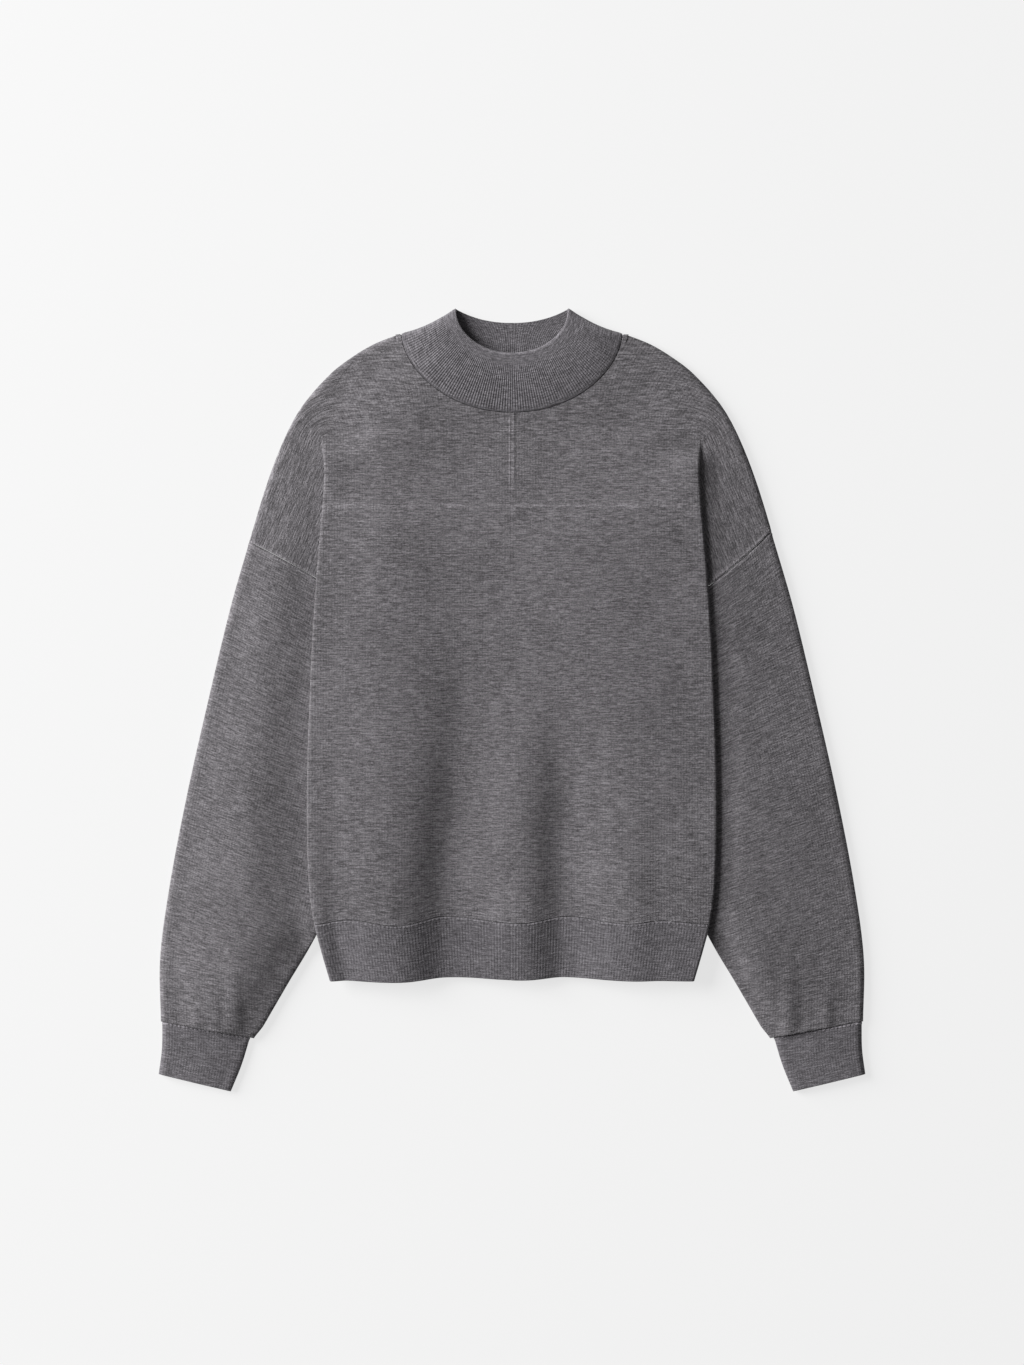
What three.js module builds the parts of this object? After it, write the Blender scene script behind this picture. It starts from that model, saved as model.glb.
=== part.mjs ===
// A mock neck sweater laid flat on its back, in millimetres.
//
// +X runs to the wearer's left sleeve, +Y from the hem to the neck and +Z up from the surface it
// lies on. The origin is on that surface, in the middle of the garment.
//
// Each side of the body is tucked in as a pleat, with the sleeve lying inside the tuck. So five
// layers lie on each other beside the body, from the surface up: the back, the back's tuck, the
// underside and the top of the sleeve, the front's tuck and the front. Both pleats run out in
// the drop shoulder above. Every wall is made from its middle surface, moved out on both sides.
import * as THREE from 'three';

// Walls and seams
const WALL = 1.8;
const RIB_WALL = 2.0;
const SEAM_GAP = 0.3;
const HALF = WALL / 2;
const LAYER = WALL + 0.75;
const NECK_GAP = 2 * SEAM_GAP;

// Body, from the middle out
const NECK_TIP = { x: 103, y: 341.5 };
const NECK_FRONT_Y = 268.2;
const NECK_BACK_Y = 298;
const NECK_CURVE = { across: 2.05, upward: 1.75 };
const PLEAT_APEX_Y = 246;
const PLEAT_FULL_Y = 206;
const UNDERARM_Y = 56;
const HEM_SEAM_Y = -207;
const HEM_Y = -262;

// Heights of the middle surfaces
const BACK_Z = HALF;
const FOLD_STEP = 2 * LAYER;
const LOOSE_TOP_Z = 6.3;
const TUCKED_TOP_Z = BACK_Z + FOLD_STEP + LAYER;
const EDGE_Z = (BACK_Z + LOOSE_TOP_Z) / 2;
const CHEST_Z = 12;
const NECK_Z = 8.4;
const NECK_SLOPE = { from: 150, length: 120 };
const OVER_TUCK = { from: 42, width: 38 };
const EDGE_ROUND = 5;
const EDGE_ROUND_FROM_Y = 84;

// The body's folded edge and the side seam inside its tuck
const PLEAT_RISE_LENGTH = 30;
const BESIDE_FOLD = 4.5;
const FALL_WIDTH = 15;
const SHORT_TUCK = 0.6;
const SIDE_SEAM_ROUND = 2.4;
const ARC_STEPS = 4;
const TUCK_STEPS = 1;

// Rows above the pleat rise toward their outer ends, to meet the sloping shoulder more squarely
const SHOULDER_SLANT = 26;
const SHOULDER_FOLD_SHARE = 0.8;
const SHOULDER_FOLD_SPREAD = 0.1;

// Where the front stands above this level near the hem, it leans out, so its edge is wavy
const HEM_LEAN = { share: 0.6, level: 8.5, from: -130, length: 70 };

// Ribs and raised lines
const RIB_PITCH = 2.8;
const RIB_HEIGHT = 0.5;
const CUFF_RIBS = 28;
const COLLAR_COLUMNS = { front: 102, back: 8 };
const COLLAR_BAND = 0.8;
const CENTRE_RIDGE = { from: 176, halfWidth: 2.2, height: 0.5 };

// Fineness: rows of the panels below the armholes and up to the pleat's apex, columns across
// half of each panel, and where along the sleeve's table its rings lie
const LOWER_ROWS = [-184, -150, -110, -65, -10];
const PLEAT_ROWS = [176, 206, 218, 229];
const NECK_ROWS = 8;
const PANEL_COLUMNS = { front: 10, back: 3 };
const SLEEVE_STATIONS = [0, 0.35, 0.8, 1.4, 2, 2.6, 3.2, 3.65, 3.95, 4.25, 5, 6];
const COLLAR_RISES = [0.004, 0.42, COLLAR_BAND, 1];

const JERSEY_GREY = 0x6d696d;
const RIB_GREY = 0x615e62;

// Half widths of the body at its folded edge and at the bottom of the tuck
const BODY = [
  { y: -262, fold: 169.8, tuck: 157 },
  { y: -232, fold: 178.3, tuck: 161 },
  { y: -208, fold: 184.2, tuck: 160 },
  { y: -180, fold: 188.4, tuck: 147 },
  { y: -140, fold: 190.7, tuck: 127 },
  { y: -65, fold: 190.8, tuck: 106 },
  { y: 0, fold: 188.6, tuck: 93.5 },
  { y: 56, fold: 186.1, tuck: 89 },
  { y: 121, fold: 181.8, tuck: 124 },
  { y: 206, fold: 175, tuck: 171.5 },
  { y: 246, fold: 176, tuck: 171.5 },
];

// Outline of the shoulder and the drop shoulder
const SHOULDER = [
  { y: 84, half: 262.5 },
  { y: 121.5, half: 252.8 },
  { y: 149.5, half: 244.9 },
  { y: 205.6, half: 227.6 },
  { y: 247.7, half: 210.8 },
  { y: 275.7, half: 194.9 },
  { y: 303.7, half: 170.1 },
  { y: 317.8, half: 152.3 },
  { y: 331.8, half: 129 },
  { y: 341.5, half: 104.2 },
];

// Sleeve edges at stations from the armhole seam to the cuff seam
const SLEEVE = [
  { outerX: 245.4, outerY: 147.5, innerX: 95.3, innerY: 56 },
  { outerX: 263.2, outerY: 85, innerX: 102.8, innerY: 0 },
  { outerX: 283.6, outerY: 0, innerX: 118.7, innerY: -65.4 },
  { outerX: 303, outerY: -86, innerX: 144.9, innerY: -140.2 },
  { outerX: 319.2, outerY: -170, innerX: 181.3, innerY: -216.8 },
  { outerX: 328.6, outerY: -240, innerX: 210, innerY: -266 },
  { outerX: 328, outerY: -300, innerX: 238.6, innerY: -315.4 },
];

// Cuff edges from its seam to its open end
const CUFF = [
  { outerX: 326.6, outerY: -300.6, innerX: 244.6, innerY: -314.8 },
  { outerX: 330, outerY: -349.4, innerX: 262.6, innerY: -365.2 },
];

// Armhole seams, from the outline in to the underarm: the two sides lie a little differently.
// The seam passes its middle point at a share of its length.
const ARMHOLE_MID = 0.41;
const ARMHOLES = [
  { side: -1, topX: 245.4, topY: 147.5, midX: 183.6, midY: 114, sleeve: 'sleeve_right' },
  { side: 1, topX: 242.2, topY: 157.2, midX: 188.4, midY: 110, sleeve: 'sleeve_left' },
];

// Top edge of the collar, and how far its folded side edge sags below a straight line
const COLLAR_TOP = { tipX: 53.3, tipY: 365, frontY: 323.6, backY: 352.4, frontZ: 10.6 };
const COLLAR_SAG = 3.4;

// Long soft troughs of the front, from where they start down to the hem, where they are deepest.
// Each is steeper on one side, and may slant across the body above its foot.
const TROUGHS = [
  { x: -60, slant: 0.1, steep: 32, gentle: 54, depth: 8.2, top: 150, length: 310 },
  { x: 51, slant: 0, steep: 30, gentle: 34, depth: 8, top: 50, length: 220 },
];
const TROUGH_FOOT_Y = -190;

const mix = (a, b, t) => a + (b - a) * t;

function smooth(t) {
  const clamped = Math.min(Math.max(t, 0), 1);
  return clamped * clamped * (3 - 2 * clamped);
}

// A smooth curve through one column of a table, at the place `at` of its key column.
function curve(table, key, column, at) {
  const last = table.length - 1;
  const place = Math.min(Math.max(at, table[0][key]), table[last][key]);
  let i = 0;
  while (i < last - 1 && place > table[i + 1][key]) i += 1;
  const slope = (k) => {
    const before = table[Math.max(k - 1, 0)];
    const after = table[Math.min(k + 1, last)];
    return (after[column] - before[column]) / (after[key] - before[key]);
  };
  const span = table[i + 1][key] - table[i][key];
  const t = (place - table[i][key]) / span;
  const rise = table[i + 1][column] - table[i][column];
  const start = slope(i) * span;
  const end = slope(i + 1) * span;
  const bend = 3 * rise - 2 * start - end;
  const turn = start + end - 2 * rise;
  return table[i][column] + t * (start + t * (bend + t * turn));
}

const foldX = (y) => curve(BODY, 'y', 'fold', y) - HALF;
const tuckX = (y) => curve(BODY, 'y', 'tuck', y);
const shoulderX = (y) => curve(SHOULDER, 'y', 'half', y) - HALF;

// How far a place on the shoulder lies inside the outline.
function insetFromShoulder(x, y) {
  const slope = (shoulderX(y + 1) - shoulderX(y - 1)) / 2;
  return (shoulderX(y) - Math.abs(x)) / Math.hypot(1, slope);
}

// Height of a rounded edge: 0 at the edge, 1 from `radius` inward.
function roundEdge(inset, radius) {
  const t = Math.min(Math.max(inset / radius, 0), 1);
  return Math.sqrt(1 - (1 - t) * (1 - t));
}

// The pleat's growth below its apex: how far its cloth turns back, and its height.
const pleatTurn = (y) => Math.PI * smooth((PLEAT_APEX_Y - y) / (PLEAT_APEX_Y - PLEAT_FULL_Y));
const pleatRise = (y) => FOLD_STEP * smooth((PLEAT_APEX_Y - y) / PLEAT_RISE_LENGTH);

// The underside and the top of what lies in the tuck, which falls to the surface outside it.
function tuckedShare(x, y) {
  const outside = smooth((Math.abs(x) - foldX(y) - BESIDE_FOLD) / FALL_WIDTH);
  return (1 - outside) * pleatRise(y) / FOLD_STEP;
}
const underZ = (x, y) => BACK_Z + FOLD_STEP * tuckedShare(x, y);
const overZ = (x, y) => mix(LOOSE_TOP_Z, TUCKED_TOP_Z, tuckedShare(x, y));

// How far the front's troughs take it down.
function troughDepth(x, y) {
  let depth = 0;
  for (const trough of TROUGHS) {
    const middle = trough.x + trough.slant * Math.max(y - TROUGH_FOOT_Y, 0);
    const width = x < middle ? trough.steep : trough.gentle;
    const across = Math.exp(-(((x - middle) / width) ** 2));
    depth += trough.depth * across * smooth((trough.top - y) / trough.length);
  }
  return depth;
}

// Height of the front inside its folded edges.
function frontZ(x, y) {
  const middle = mix(CHEST_Z, NECK_Z, smooth((y - NECK_SLOPE.from) / NECK_SLOPE.length));
  const side = overZ(foldX(y), y) + pleatRise(y);
  const overTuck = smooth((Math.abs(x) - tuckX(y) + OVER_TUCK.from) / OVER_TUCK.width);
  const overShoulder = smooth(Math.abs(x) / (foldX(y) - EDGE_ROUND));
  return mix(middle, side, y > PLEAT_APEX_Y ? overShoulder : overTuck) - troughDepth(x, y);
}

// Near the hem the front leans out where it stands high, so that its lower edge is wavy.
function leanY(face, y, z) {
  if (face.up < 0) return y;
  const nearHem = smooth((HEM_LEAN.from - y) / HEM_LEAN.length);
  return y - HEM_LEAN.share * (z - HEM_LEAN.level) * nearHem;
}

// The body's front and back, and the parts of each that make the drop shoulder.
const FACES = {
  front: { up: 1, body: frontZ, drop: overZ, neck: NECK_FRONT_Y },
  back: { up: -1, body: () => BACK_Z, drop: underZ, neck: NECK_BACK_Y },
};

// Half width of the neck hole at a height, and the height at a share of its quarter turn. The
// panels' hole is a little larger, because their straight edges cut inside its curve.
function neckX(face, y) {
  const t = Math.min(Math.max((y - face.neck) / (NECK_TIP.y - face.neck), 0), 1);
  return NECK_TIP.x * (1 - (1 - t) ** NECK_CURVE.upward) ** (1 / NECK_CURVE.across);
}
const neckY = (face, turn) => mix(face.neck, NECK_TIP.y, 1 - Math.cos(turn * Math.PI / 2));

// The side's armhole seam, from the outline at 0 to the underarm at 1.
function armholePoint(armhole, share) {
  const { innerX, innerY } = SLEEVE[0];
  const top = (share - ARMHOLE_MID) * (share - 1) / ARMHOLE_MID;
  const mid = share * (share - 1) / (ARMHOLE_MID * (ARMHOLE_MID - 1));
  const inner = share * (share - ARMHOLE_MID) / (1 - ARMHOLE_MID);
  return {
    x: top * armhole.topX + mid * armhole.midX + inner * innerX,
    y: top * armhole.topY + mid * armhole.midY + inner * innerY,
  };
}

// Heights of the panel rows that end on the armhole seam, and their shares of it. Between them
// the seam is straight, so that panels and sleeve follow the same line.
const SEAM_ROWS = [SLEEVE[0].outerY, 144.5, 133, 121, 110, 84, UNDERARM_Y + 4];
const seamShare = (y) => (SLEEVE[0].outerY - y) / (SLEEVE[0].outerY - UNDERARM_Y);
const SEAM_SHARES = [...SEAM_ROWS.map(seamShare), 1];

function seamPoint(armhole, share) {
  let i = 0;
  while (i < SEAM_SHARES.length - 2 && share > SEAM_SHARES[i + 1]) i += 1;
  const t = (share - SEAM_SHARES[i]) / (SEAM_SHARES[i + 1] - SEAM_SHARES[i]);
  const from = armholePoint(armhole, SEAM_SHARES[i]);
  const to = armholePoint(armhole, SEAM_SHARES[i + 1]);
  return { x: mix(from.x, to.x, t), y: mix(from.y, to.y, t) };
}

// How much of its slant a row above the pleat has.
function slantShare(y) {
  const t = Math.min((y - PLEAT_APEX_Y) / (NECK_TIP.y - PLEAT_APEX_Y), 1);
  return smooth(t / 0.3) * (1 - t ** 1.6);
}

// Where a row ends: on the outline above the armhole seam, then on that seam.
function rowEnd(armhole, y) {
  const seamTop = SLEEVE[0].outerY;
  if (y >= seamTop) {
    const lift = (armhole.topY - seamTop) * smooth((PLEAT_APEX_Y - y) / (PLEAT_APEX_Y - seamTop));
    const slant = y > PLEAT_APEX_Y ? SHOULDER_SLANT * slantShare(y) : 0;
    const gap = y === seamTop ? 3 * SEAM_GAP : 0;
    return { x: shoulderX(y + lift + slant + gap), y: y + lift + slant + gap };
  }
  const point = seamPoint(armhole, seamShare(y));
  return { x: point.x - HALF * (1 - 2 * seamShare(y)), y: point.y + 1.5 * SEAM_GAP };
}

// One pleat in section, from the top layer round its fold, back along the tuck and out again.
// It starts at 0, 0 and falls; `turn` is how far the cloth turns back.
function pleatSection(turn, rise, length, steps) {
  const angle = Math.max(turn, 0.03);
  const fall = Math.max(rise, 0.08);
  const arc = (fall - length * Math.sin(angle)) * angle / (2 * (1 - Math.cos(angle)));
  const points = [{ x: 0, z: 0 }];
  const move = (distance, heading) => {
    const last = points[points.length - 1];
    points.push({
      x: last.x + distance * Math.cos(heading),
      z: last.z - distance * Math.sin(heading),
    });
  };
  const chord = Math.abs(arc) * Math.sin(angle / steps / 2) / (angle / steps / 2) / steps;
  for (let i = 0; i < steps; i += 1) move(chord * Math.sign(arc), angle * (i + 0.5) / steps);
  for (let i = 0; i < TUCK_STEPS; i += 1) move(length / TUCK_STEPS, angle);
  for (let i = 0; i < steps; i += 1) move(chord * Math.sign(arc), angle * (steps - i - 0.5) / steps);
  return points;
}

// The tuck's cloth in a row, from where the top layer starts to turn: its place and height.
function tuckRow(face, y) {
  const startX = foldX(y) - FOLD_STEP / 4;
  const room = startX - FOLD_STEP / 4 - tuckX(y);
  const length = y > PLEAT_FULL_Y ? SHORT_TUCK : Math.max(room, SHORT_TUCK);
  const section = pleatSection(pleatTurn(y), pleatRise(y), length, ARC_STEPS);
  const fall = -section[section.length - 1].z;
  const below = face.drop(startX + section[section.length - 1].x, y);
  return section.map((point) => ({
    x: startX + point.x,
    z: below + face.up * (fall + point.z),
  }));
}

// Below the underarm the tuck's cloth ends at the side seam, where front meets back.
function sideSeamRow(face, y) {
  const row = tuckRow(face, y).slice(0, 1 + ARC_STEPS + TUCK_STEPS);
  const corner = row[row.length - 1];
  const seamZ = BACK_Z + FOLD_STEP + LAYER / 2 + face.up * SEAM_GAP / 2;
  for (let i = 1; i <= ARC_STEPS / 2; i += 1) {
    const angle = i / (ARC_STEPS / 2) * Math.PI / 2;
    row.push({
      x: corner.x - SIDE_SEAM_ROUND * Math.sin(angle),
      z: mix(seamZ, corner.z, Math.cos(angle)),
    });
  }
  return row;
}

// Places of the drop shoulder's columns: across the fall beside the body's edge, then on the
// outline's rounded edge.
function dropPlaces(from, to, y) {
  const width = to - from;
  const lastStep = Math.min(EDGE_ROUND, width * 0.1);
  const places = [to - lastStep, to - lastStep * 0.25, to];
  const beside = foldX(y) + BESIDE_FOLD;
  const room = places[0] - 3;
  const shares = [0.5, 0.8, 0.95];
  const fall = [0, 0.5, 1].map((share) => beside + share * FALL_WIDTH);
  const fits = y < PLEAT_APEX_Y && beside > from + 1 && room > beside + 2;
  const inner = shares.map((share, i) => (
    fits ? Math.min(fall[i], mix(beside, room, i / 2)) : mix(from, places[0], share)
  ));
  return [...inner, ...places];
}

// One half of a panel's row, from the middle or the neck hole out to its end.
function halfRow(face, armhole, y, bodySteps) {
  const { side } = armhole;
  const below = y <= UNDERARM_Y;
  const inNeck = y > face.neck - NECK_GAP;
  const startX = inNeck ? neckX(face, y + NECK_GAP) + NECK_GAP / 2 : 0;
  const end = rowEnd(armhole, y);
  const above = y > PLEAT_APEX_Y;
  const tuck = below ? sideSeamRow(face, y) : tuckRow(face, y);
  const shift = above ? mix(startX, end.x, SHOULDER_FOLD_SHARE) - tuck[0].x : 0;
  const before = smooth(startX / end.x);
  const slantAt = (x) => (smooth(x / end.x) - before) / (1 - before);
  const slanted = (x) => (above ? mix(y, end.y, slantAt(x)) : y);
  const points = [];
  for (let i = 0; i < bodySteps; i += 1) {
    const beyondRidge = Math.max(i - 1, 0) / (bodySteps - 1);
    const inner = startX + (i === 0 ? 0 : CENTRE_RIDGE.halfWidth);
    const x = mix(inner, tuck[0].x + shift, beyondRidge);
    points.push({ x, y: slanted(x), z: face.body(side * x, slanted(x)) });
  }
  const spreadStep = SHOULDER_FOLD_SPREAD * (end.x - startX) / (tuck.length - 1);
  tuck.forEach((point, i) => {
    const spread = tuck[0].x + shift + spreadStep * i;
    const x = mix(point.x + shift, spread, smooth((y - PLEAT_APEX_Y) / 20));
    points.push({ x, y: slanted(x), z: above ? face.body(side * x, slanted(x)) : point.z });
  });
  if (!below) {
    const from = points[points.length - 1];
    for (const x of dropPlaces(from.x, end.x, y)) {
      const rowY = above ? slanted(x) : mix(y, end.y, (x - from.x) / (end.x - from.x));
      points.push({ x, y: rowY, z: face.drop(x, rowY) });
    }
  }
  return points.map((point) => placeOnPanel(face, side, point));
}

// A point of a panel with the outline's rounded edge, where front and back meet.
function placeOnPanel(face, side, { x, y, z }) {
  const seamZ = EDGE_Z + face.up * SEAM_GAP / 2;
  const edge = y > EDGE_ROUND_FROM_Y ? roundEdge(insetFromShoulder(x, y), EDGE_ROUND) : 1;
  const height = mix(seamZ, z, edge);
  return new THREE.Vector3(side * x, leanY(face, y, height), height);
}

// Heights of the rows of a panel: up the side, through the pleat's apex and up the neck hole.
function panelRows(face) {
  const rows = [HEM_SEAM_Y + SEAM_GAP, ...LOWER_ROWS, UNDERARM_Y, ...[...SEAM_ROWS].reverse()];
  rows.push(...PLEAT_ROWS, PLEAT_APEX_Y);
  if (face === FACES.back) rows.push(mix(PLEAT_APEX_Y, face.neck, 0.5));
  for (let i = 0; i < NECK_ROWS; i += 1) {
    rows.push(neckY(face, 0.97 * i / (NECK_ROWS - 1)) - NECK_GAP);
  }
  return rows;
}

// A sheet of quads, made from points that neighbouring quads share.
class Sheet {
  constructor() {
    this.points = [];
    this.raise = [];
    this.level = [];
    this.quads = [];
  }

  // A point, how far its outer face is raised, and the axis that its rim is square to, if any.
  add(point, raise = 0, level = '') {
    this.points.push(point);
    this.raise.push(raise);
    this.level.push(level);
    return this.points.length - 1;
  }

  quad(a, b, c, d, flip) {
    this.quads.push(flip ? [a, d, c, b] : [a, b, c, d]);
  }

  // Rings of points joined to each other, and round themselves if they are closed.
  joinRows(rows, closed, flip) {
    for (let r = 0; r + 1 < rows.length; r += 1) {
      const count = rows[r].length - (closed ? 0 : 1);
      for (let i = 0; i < count; i += 1) {
        const j = (i + 1) % rows[r].length;
        this.quad(rows[r][i], rows[r][j], rows[r + 1][j], rows[r + 1][i], flip);
      }
    }
  }

  normals() {
    const normals = this.points.map(() => new THREE.Vector3());
    const across = new THREE.Vector3();
    const along = new THREE.Vector3();
    for (const [a, b, c, d] of this.quads) {
      across.subVectors(this.points[c], this.points[a]);
      along.subVectors(this.points[d], this.points[b]);
      const normal = across.cross(along);
      for (const index of [a, b, c, d]) normals[index].add(normal);
    }
    normals.forEach((normal, i) => {
      for (const axis of this.level[i]) normal[axis] = 0;
      normal.normalize();
    });
    return normals;
  }

  // The wall: both faces of the sheet, and a rim along each of its free edges.
  wall(thickness) {
    const normals = this.normals();
    const count = this.points.length;
    const position = new Float32Array(count * 6);
    this.points.forEach((point, i) => {
      const outer = point.clone().addScaledVector(normals[i], thickness / 2 + this.raise[i]);
      const inner = point.clone().addScaledVector(normals[i], -thickness / 2);
      outer.toArray(position, i * 3);
      inner.toArray(position, (count + i) * 3);
    });
    const index = [];
    const edges = new Map();
    for (const [a, b, c, d] of this.quads) {
      index.push(a, b, c, a, c, d);
      index.push(count + a, count + c, count + b, count + a, count + d, count + c);
      for (const [from, to] of [[a, b], [b, c], [c, d], [d, a]]) {
        if (!edges.delete(`${to},${from}`)) edges.set(`${from},${to}`, [from, to]);
      }
    }
    for (const [from, to] of edges.values()) {
      index.push(from, count + from, count + to, from, count + to, to);
    }
    const geometry = new THREE.BufferGeometry();
    geometry.setAttribute('position', new THREE.BufferAttribute(position, 3));
    geometry.setIndex(index);
    geometry.computeVertexNormals();
    return geometry;
  }
}

// Height of the raised line down the middle of the front, from the neck to where it fades.
function centreRidge(face, y) {
  return face.up < 0 ? 0 : CENTRE_RIDGE.height * smooth((y - CENTRE_RIDGE.from) / 30);
}

function panelGeometry(face, bodySteps) {
  const sheet = new Sheet();
  const heights = panelRows(face);
  const halves = ARMHOLES.map((armhole) => ({ side: armhole.side, rows: [] }));
  heights.forEach((y, row) => {
    const square = row === 0 ? 'y' : '';
    const centreZ = face.body(0, y);
    const centre = new THREE.Vector3(0, leanY(face, y, centreZ), centreZ);
    const inBody = y <= face.neck - NECK_GAP;
    const middle = inBody ? sheet.add(centre, centreRidge(face, y), square) : null;
    ARMHOLES.forEach((armhole, k) => {
      const points = halfRow(face, armhole, y, bodySteps);
      const ids = points.map((point, i) => {
        if (i === 0 && middle !== null) return middle;
        const meetsOtherFace = i === points.length - 1 && (y <= UNDERARM_Y || y >= SLEEVE[0].outerY);
        return sheet.add(point, 0, meetsOtherFace ? `${square}z` : square);
      });
      halves[k].rows.push(ids);
    });
  });
  for (const { side, rows } of halves) {
    const flip = side * face.up < 0;
    const under = heights.indexOf(UNDERARM_Y);
    sheet.joinRows(rows.slice(0, under + 1), false, flip);
    const trimmed = rows[under + 1].slice(0, rows[under].length);
    sheet.joinRows([rows[under], trimmed], false, flip);
    sheet.joinRows(rows.slice(under + 1), false, flip);
  }
  return sheet.wall(WALL);
}

// A flattened tube between an outer and an inner edge, in section: places across and heights.
function tubeSection(width, roundOuter, roundInner, topShares) {
  return topShares.map((share) => {
    const inset = share * width;
    const outer = roundEdge(inset, roundOuter);
    const inner = roundEdge(width - inset, roundInner);
    return { share, swell: Math.min(outer, inner) };
  });
}

// Shares of a sleeve's width: both rounded edges, and the fall beside the body's folded edge.
function sleeveShares(at) {
  if (at === 0) {
    const between = [1, 2, 2, 3, 1, 2, 1];
    const steps = between.flatMap((count, i) => Array.from({ length: count }, (_, k) => (
      mix(SEAM_SHARES[i], SEAM_SHARES[i + 1], k / count)
    )));
    return [...steps, 1];
  }
  const { outerX, innerX, outerY, innerY } = stationEdges(SLEEVE, at);
  const toShare = (x) => (outerX - x) / (outerX - innerX);
  const edge = foldX(mix(outerY, innerY, toShare(foldX(outerY))));
  const foot = Math.min(toShare(edge + BESIDE_FOLD + FALL_WIDTH), 0.76);
  const head = Math.min(toShare(edge + BESIDE_FOLD), 0.9);
  const flat = [0.28, 0.64, 1].map((t) => mix(0.06, foot, t));
  const fall = [0.34, 0.67, 1].map((t) => mix(foot, head, t));
  return [0, 0.007, 0.026, ...flat, ...fall, mix(head, 0.965, 0.5), 0.965, 0.988, 1];
}

// One ring of a sleeve or cuff, from its outer edge over the top to the inner edge and back.
function tubeRing(side, place, topShares, underShares, overAt, underAt) {
  const ring = [];
  const width = Math.hypot(place(1).x - place(0).x, place(1).y - place(0).y);
  const addPoints = (shares, up) => {
    for (const { share, swell } of tubeSection(width, EDGE_ROUND, LAYER, shares)) {
      const { x, y } = place(share);
      const over = overAt(x, y);
      const under = underAt(x, y);
      const middle = (over + under) / 2;
      ring.push(new THREE.Vector3(side * x, y, middle + up * swell * (over - under) / 2));
    }
  };
  addPoints(topShares, 1);
  addPoints([...underShares].reverse(), -1);
  return ring;
}

function stationEdges(table, at) {
  const rows = table.map((row, i) => ({ ...row, i }));
  return {
    outerX: curve(rows, 'i', 'outerX', at) - HALF,
    outerY: curve(rows, 'i', 'outerY', at),
    innerX: curve(rows, 'i', 'innerX', at) + HALF,
    innerY: curve(rows, 'i', 'innerY', at),
  };
}

function stationPlace(table, at) {
  const { outerX, outerY, innerX, innerY } = stationEdges(table, at);
  return (share) => ({ x: mix(outerX, innerX, share), y: mix(outerY, innerY, share) });
}

// Across a sleeve's first station the ring follows the armhole seam, and lower ones less.
function sleevePlace(armhole, at) {
  const straight = stationPlace(SLEEVE, at);
  const nearSeam = 1 - smooth(at / 1.2);
  const first = stationPlace(SLEEVE, 0);
  return (share) => {
    const seam = seamPoint(armhole, share);
    const plain = straight(share);
    return {
      x: plain.x + nearSeam * (seam.x - HALF * (1 - 2 * share) - first(share).x),
      y: plain.y + nearSeam * (seam.y - first(share).y),
    };
  };
}

function sleeveGeometry(armhole) {
  const sheet = new Sheet();
  const rings = [];
  for (const at of SLEEVE_STATIONS) {
    const place = sleevePlace(armhole, at);
    const shares = sleeveShares(at);
    const ring = tubeRing(armhole.side, place, shares, shares.slice(1, -1), overZ, underZ);
    rings.push(ring.map((point) => sheet.add(point)));
  }
  sheet.joinRows(rings, true, armhole.side < 0);
  return sheet.wall(WALL);
}

// A cuff: ribs along its top face, and a plain face below where it rests.
function cuffGeometry(side) {
  const sheet = new Sheet();
  const columns = 2 * CUFF_RIBS;
  const round = { from: 0.012, to: 0.04 };
  const topShares = [0, round.from, round.to];
  for (let i = 1; i <= columns; i += 1) topShares.push(mix(round.to, 1 - round.to, i / columns));
  topShares.push(1 - round.from, 1);
  const flatShares = [0.06, 0.2, 0.4, 0.6, 0.8, 0.94];
  const underShares = [round.from, ...flatShares, 1 - round.from];
  const rings = [];
  for (const at of [0, 1]) {
    const place = stationPlace(CUFF, at);
    const ring = tubeRing(side, place, topShares, underShares, () => LOOSE_TOP_Z, () => BACK_Z);
    rings.push(ring.map((point, i) => {
      const ribbed = i > 2 && i < columns + 2 && i % 2 === 0;
      return sheet.add(point, ribbed ? RIB_HEIGHT : 0);
    }));
  }
  sheet.joinRows(rings, true, side < 0);
  return sheet.wall(WALL);
}

// Half of the hem band's ring at a height: over the top, round the fold and into the tuck.
function hemHalf(face, side, y, topSteps) {
  const seam = sideSeamRow(face, y);
  const points = [];
  const add = (x, z) => points.push(new THREE.Vector3(side * x, leanY(face, y, z), z));
  for (let i = 0; i < topSteps; i += 1) {
    const x = seam[0].x * i / topSteps;
    add(x, face.body(side * x, y));
  }
  for (const point of seam) add(point.x, point.z);
  return points;
}

function hemRing(y, ribColumns, backColumns) {
  const frontLeft = hemHalf(FACES.front, 1, y, ribColumns);
  const frontRight = hemHalf(FACES.front, -1, y, ribColumns);
  const backLeft = hemHalf(FACES.back, 1, y, backColumns);
  const backRight = hemHalf(FACES.back, -1, y, backColumns);
  const joined = (front, back) => {
    const seam = front[front.length - 1].clone().lerp(back[back.length - 1], 0.5);
    return [...front.slice(0, -1), seam, ...back.slice(0, -1).reverse()];
  };
  const left = joined(frontLeft, backLeft);
  const right = joined(frontRight, backRight);
  return [...left, ...right.reverse().slice(1, -1)];
}

function hemGeometry() {
  const sheet = new Sheet();
  const ribColumns = 2 * Math.round(170 / RIB_PITCH);
  const rings = [];
  for (const y of [HEM_SEAM_Y - SEAM_GAP / 2, HEM_Y]) {
    const ring = hemRing(y, ribColumns, 4);
    rings.push(ring.map((point, i) => {
      const step = Math.min(i, ring.length - i);
      const ribbed = step < ribColumns && step % 2 === 0;
      return sheet.add(point, ribbed ? RIB_HEIGHT : 0, 'y');
    }));
  }
  sheet.joinRows(rings, true, true);
  return sheet.wall(WALL);
}

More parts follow.
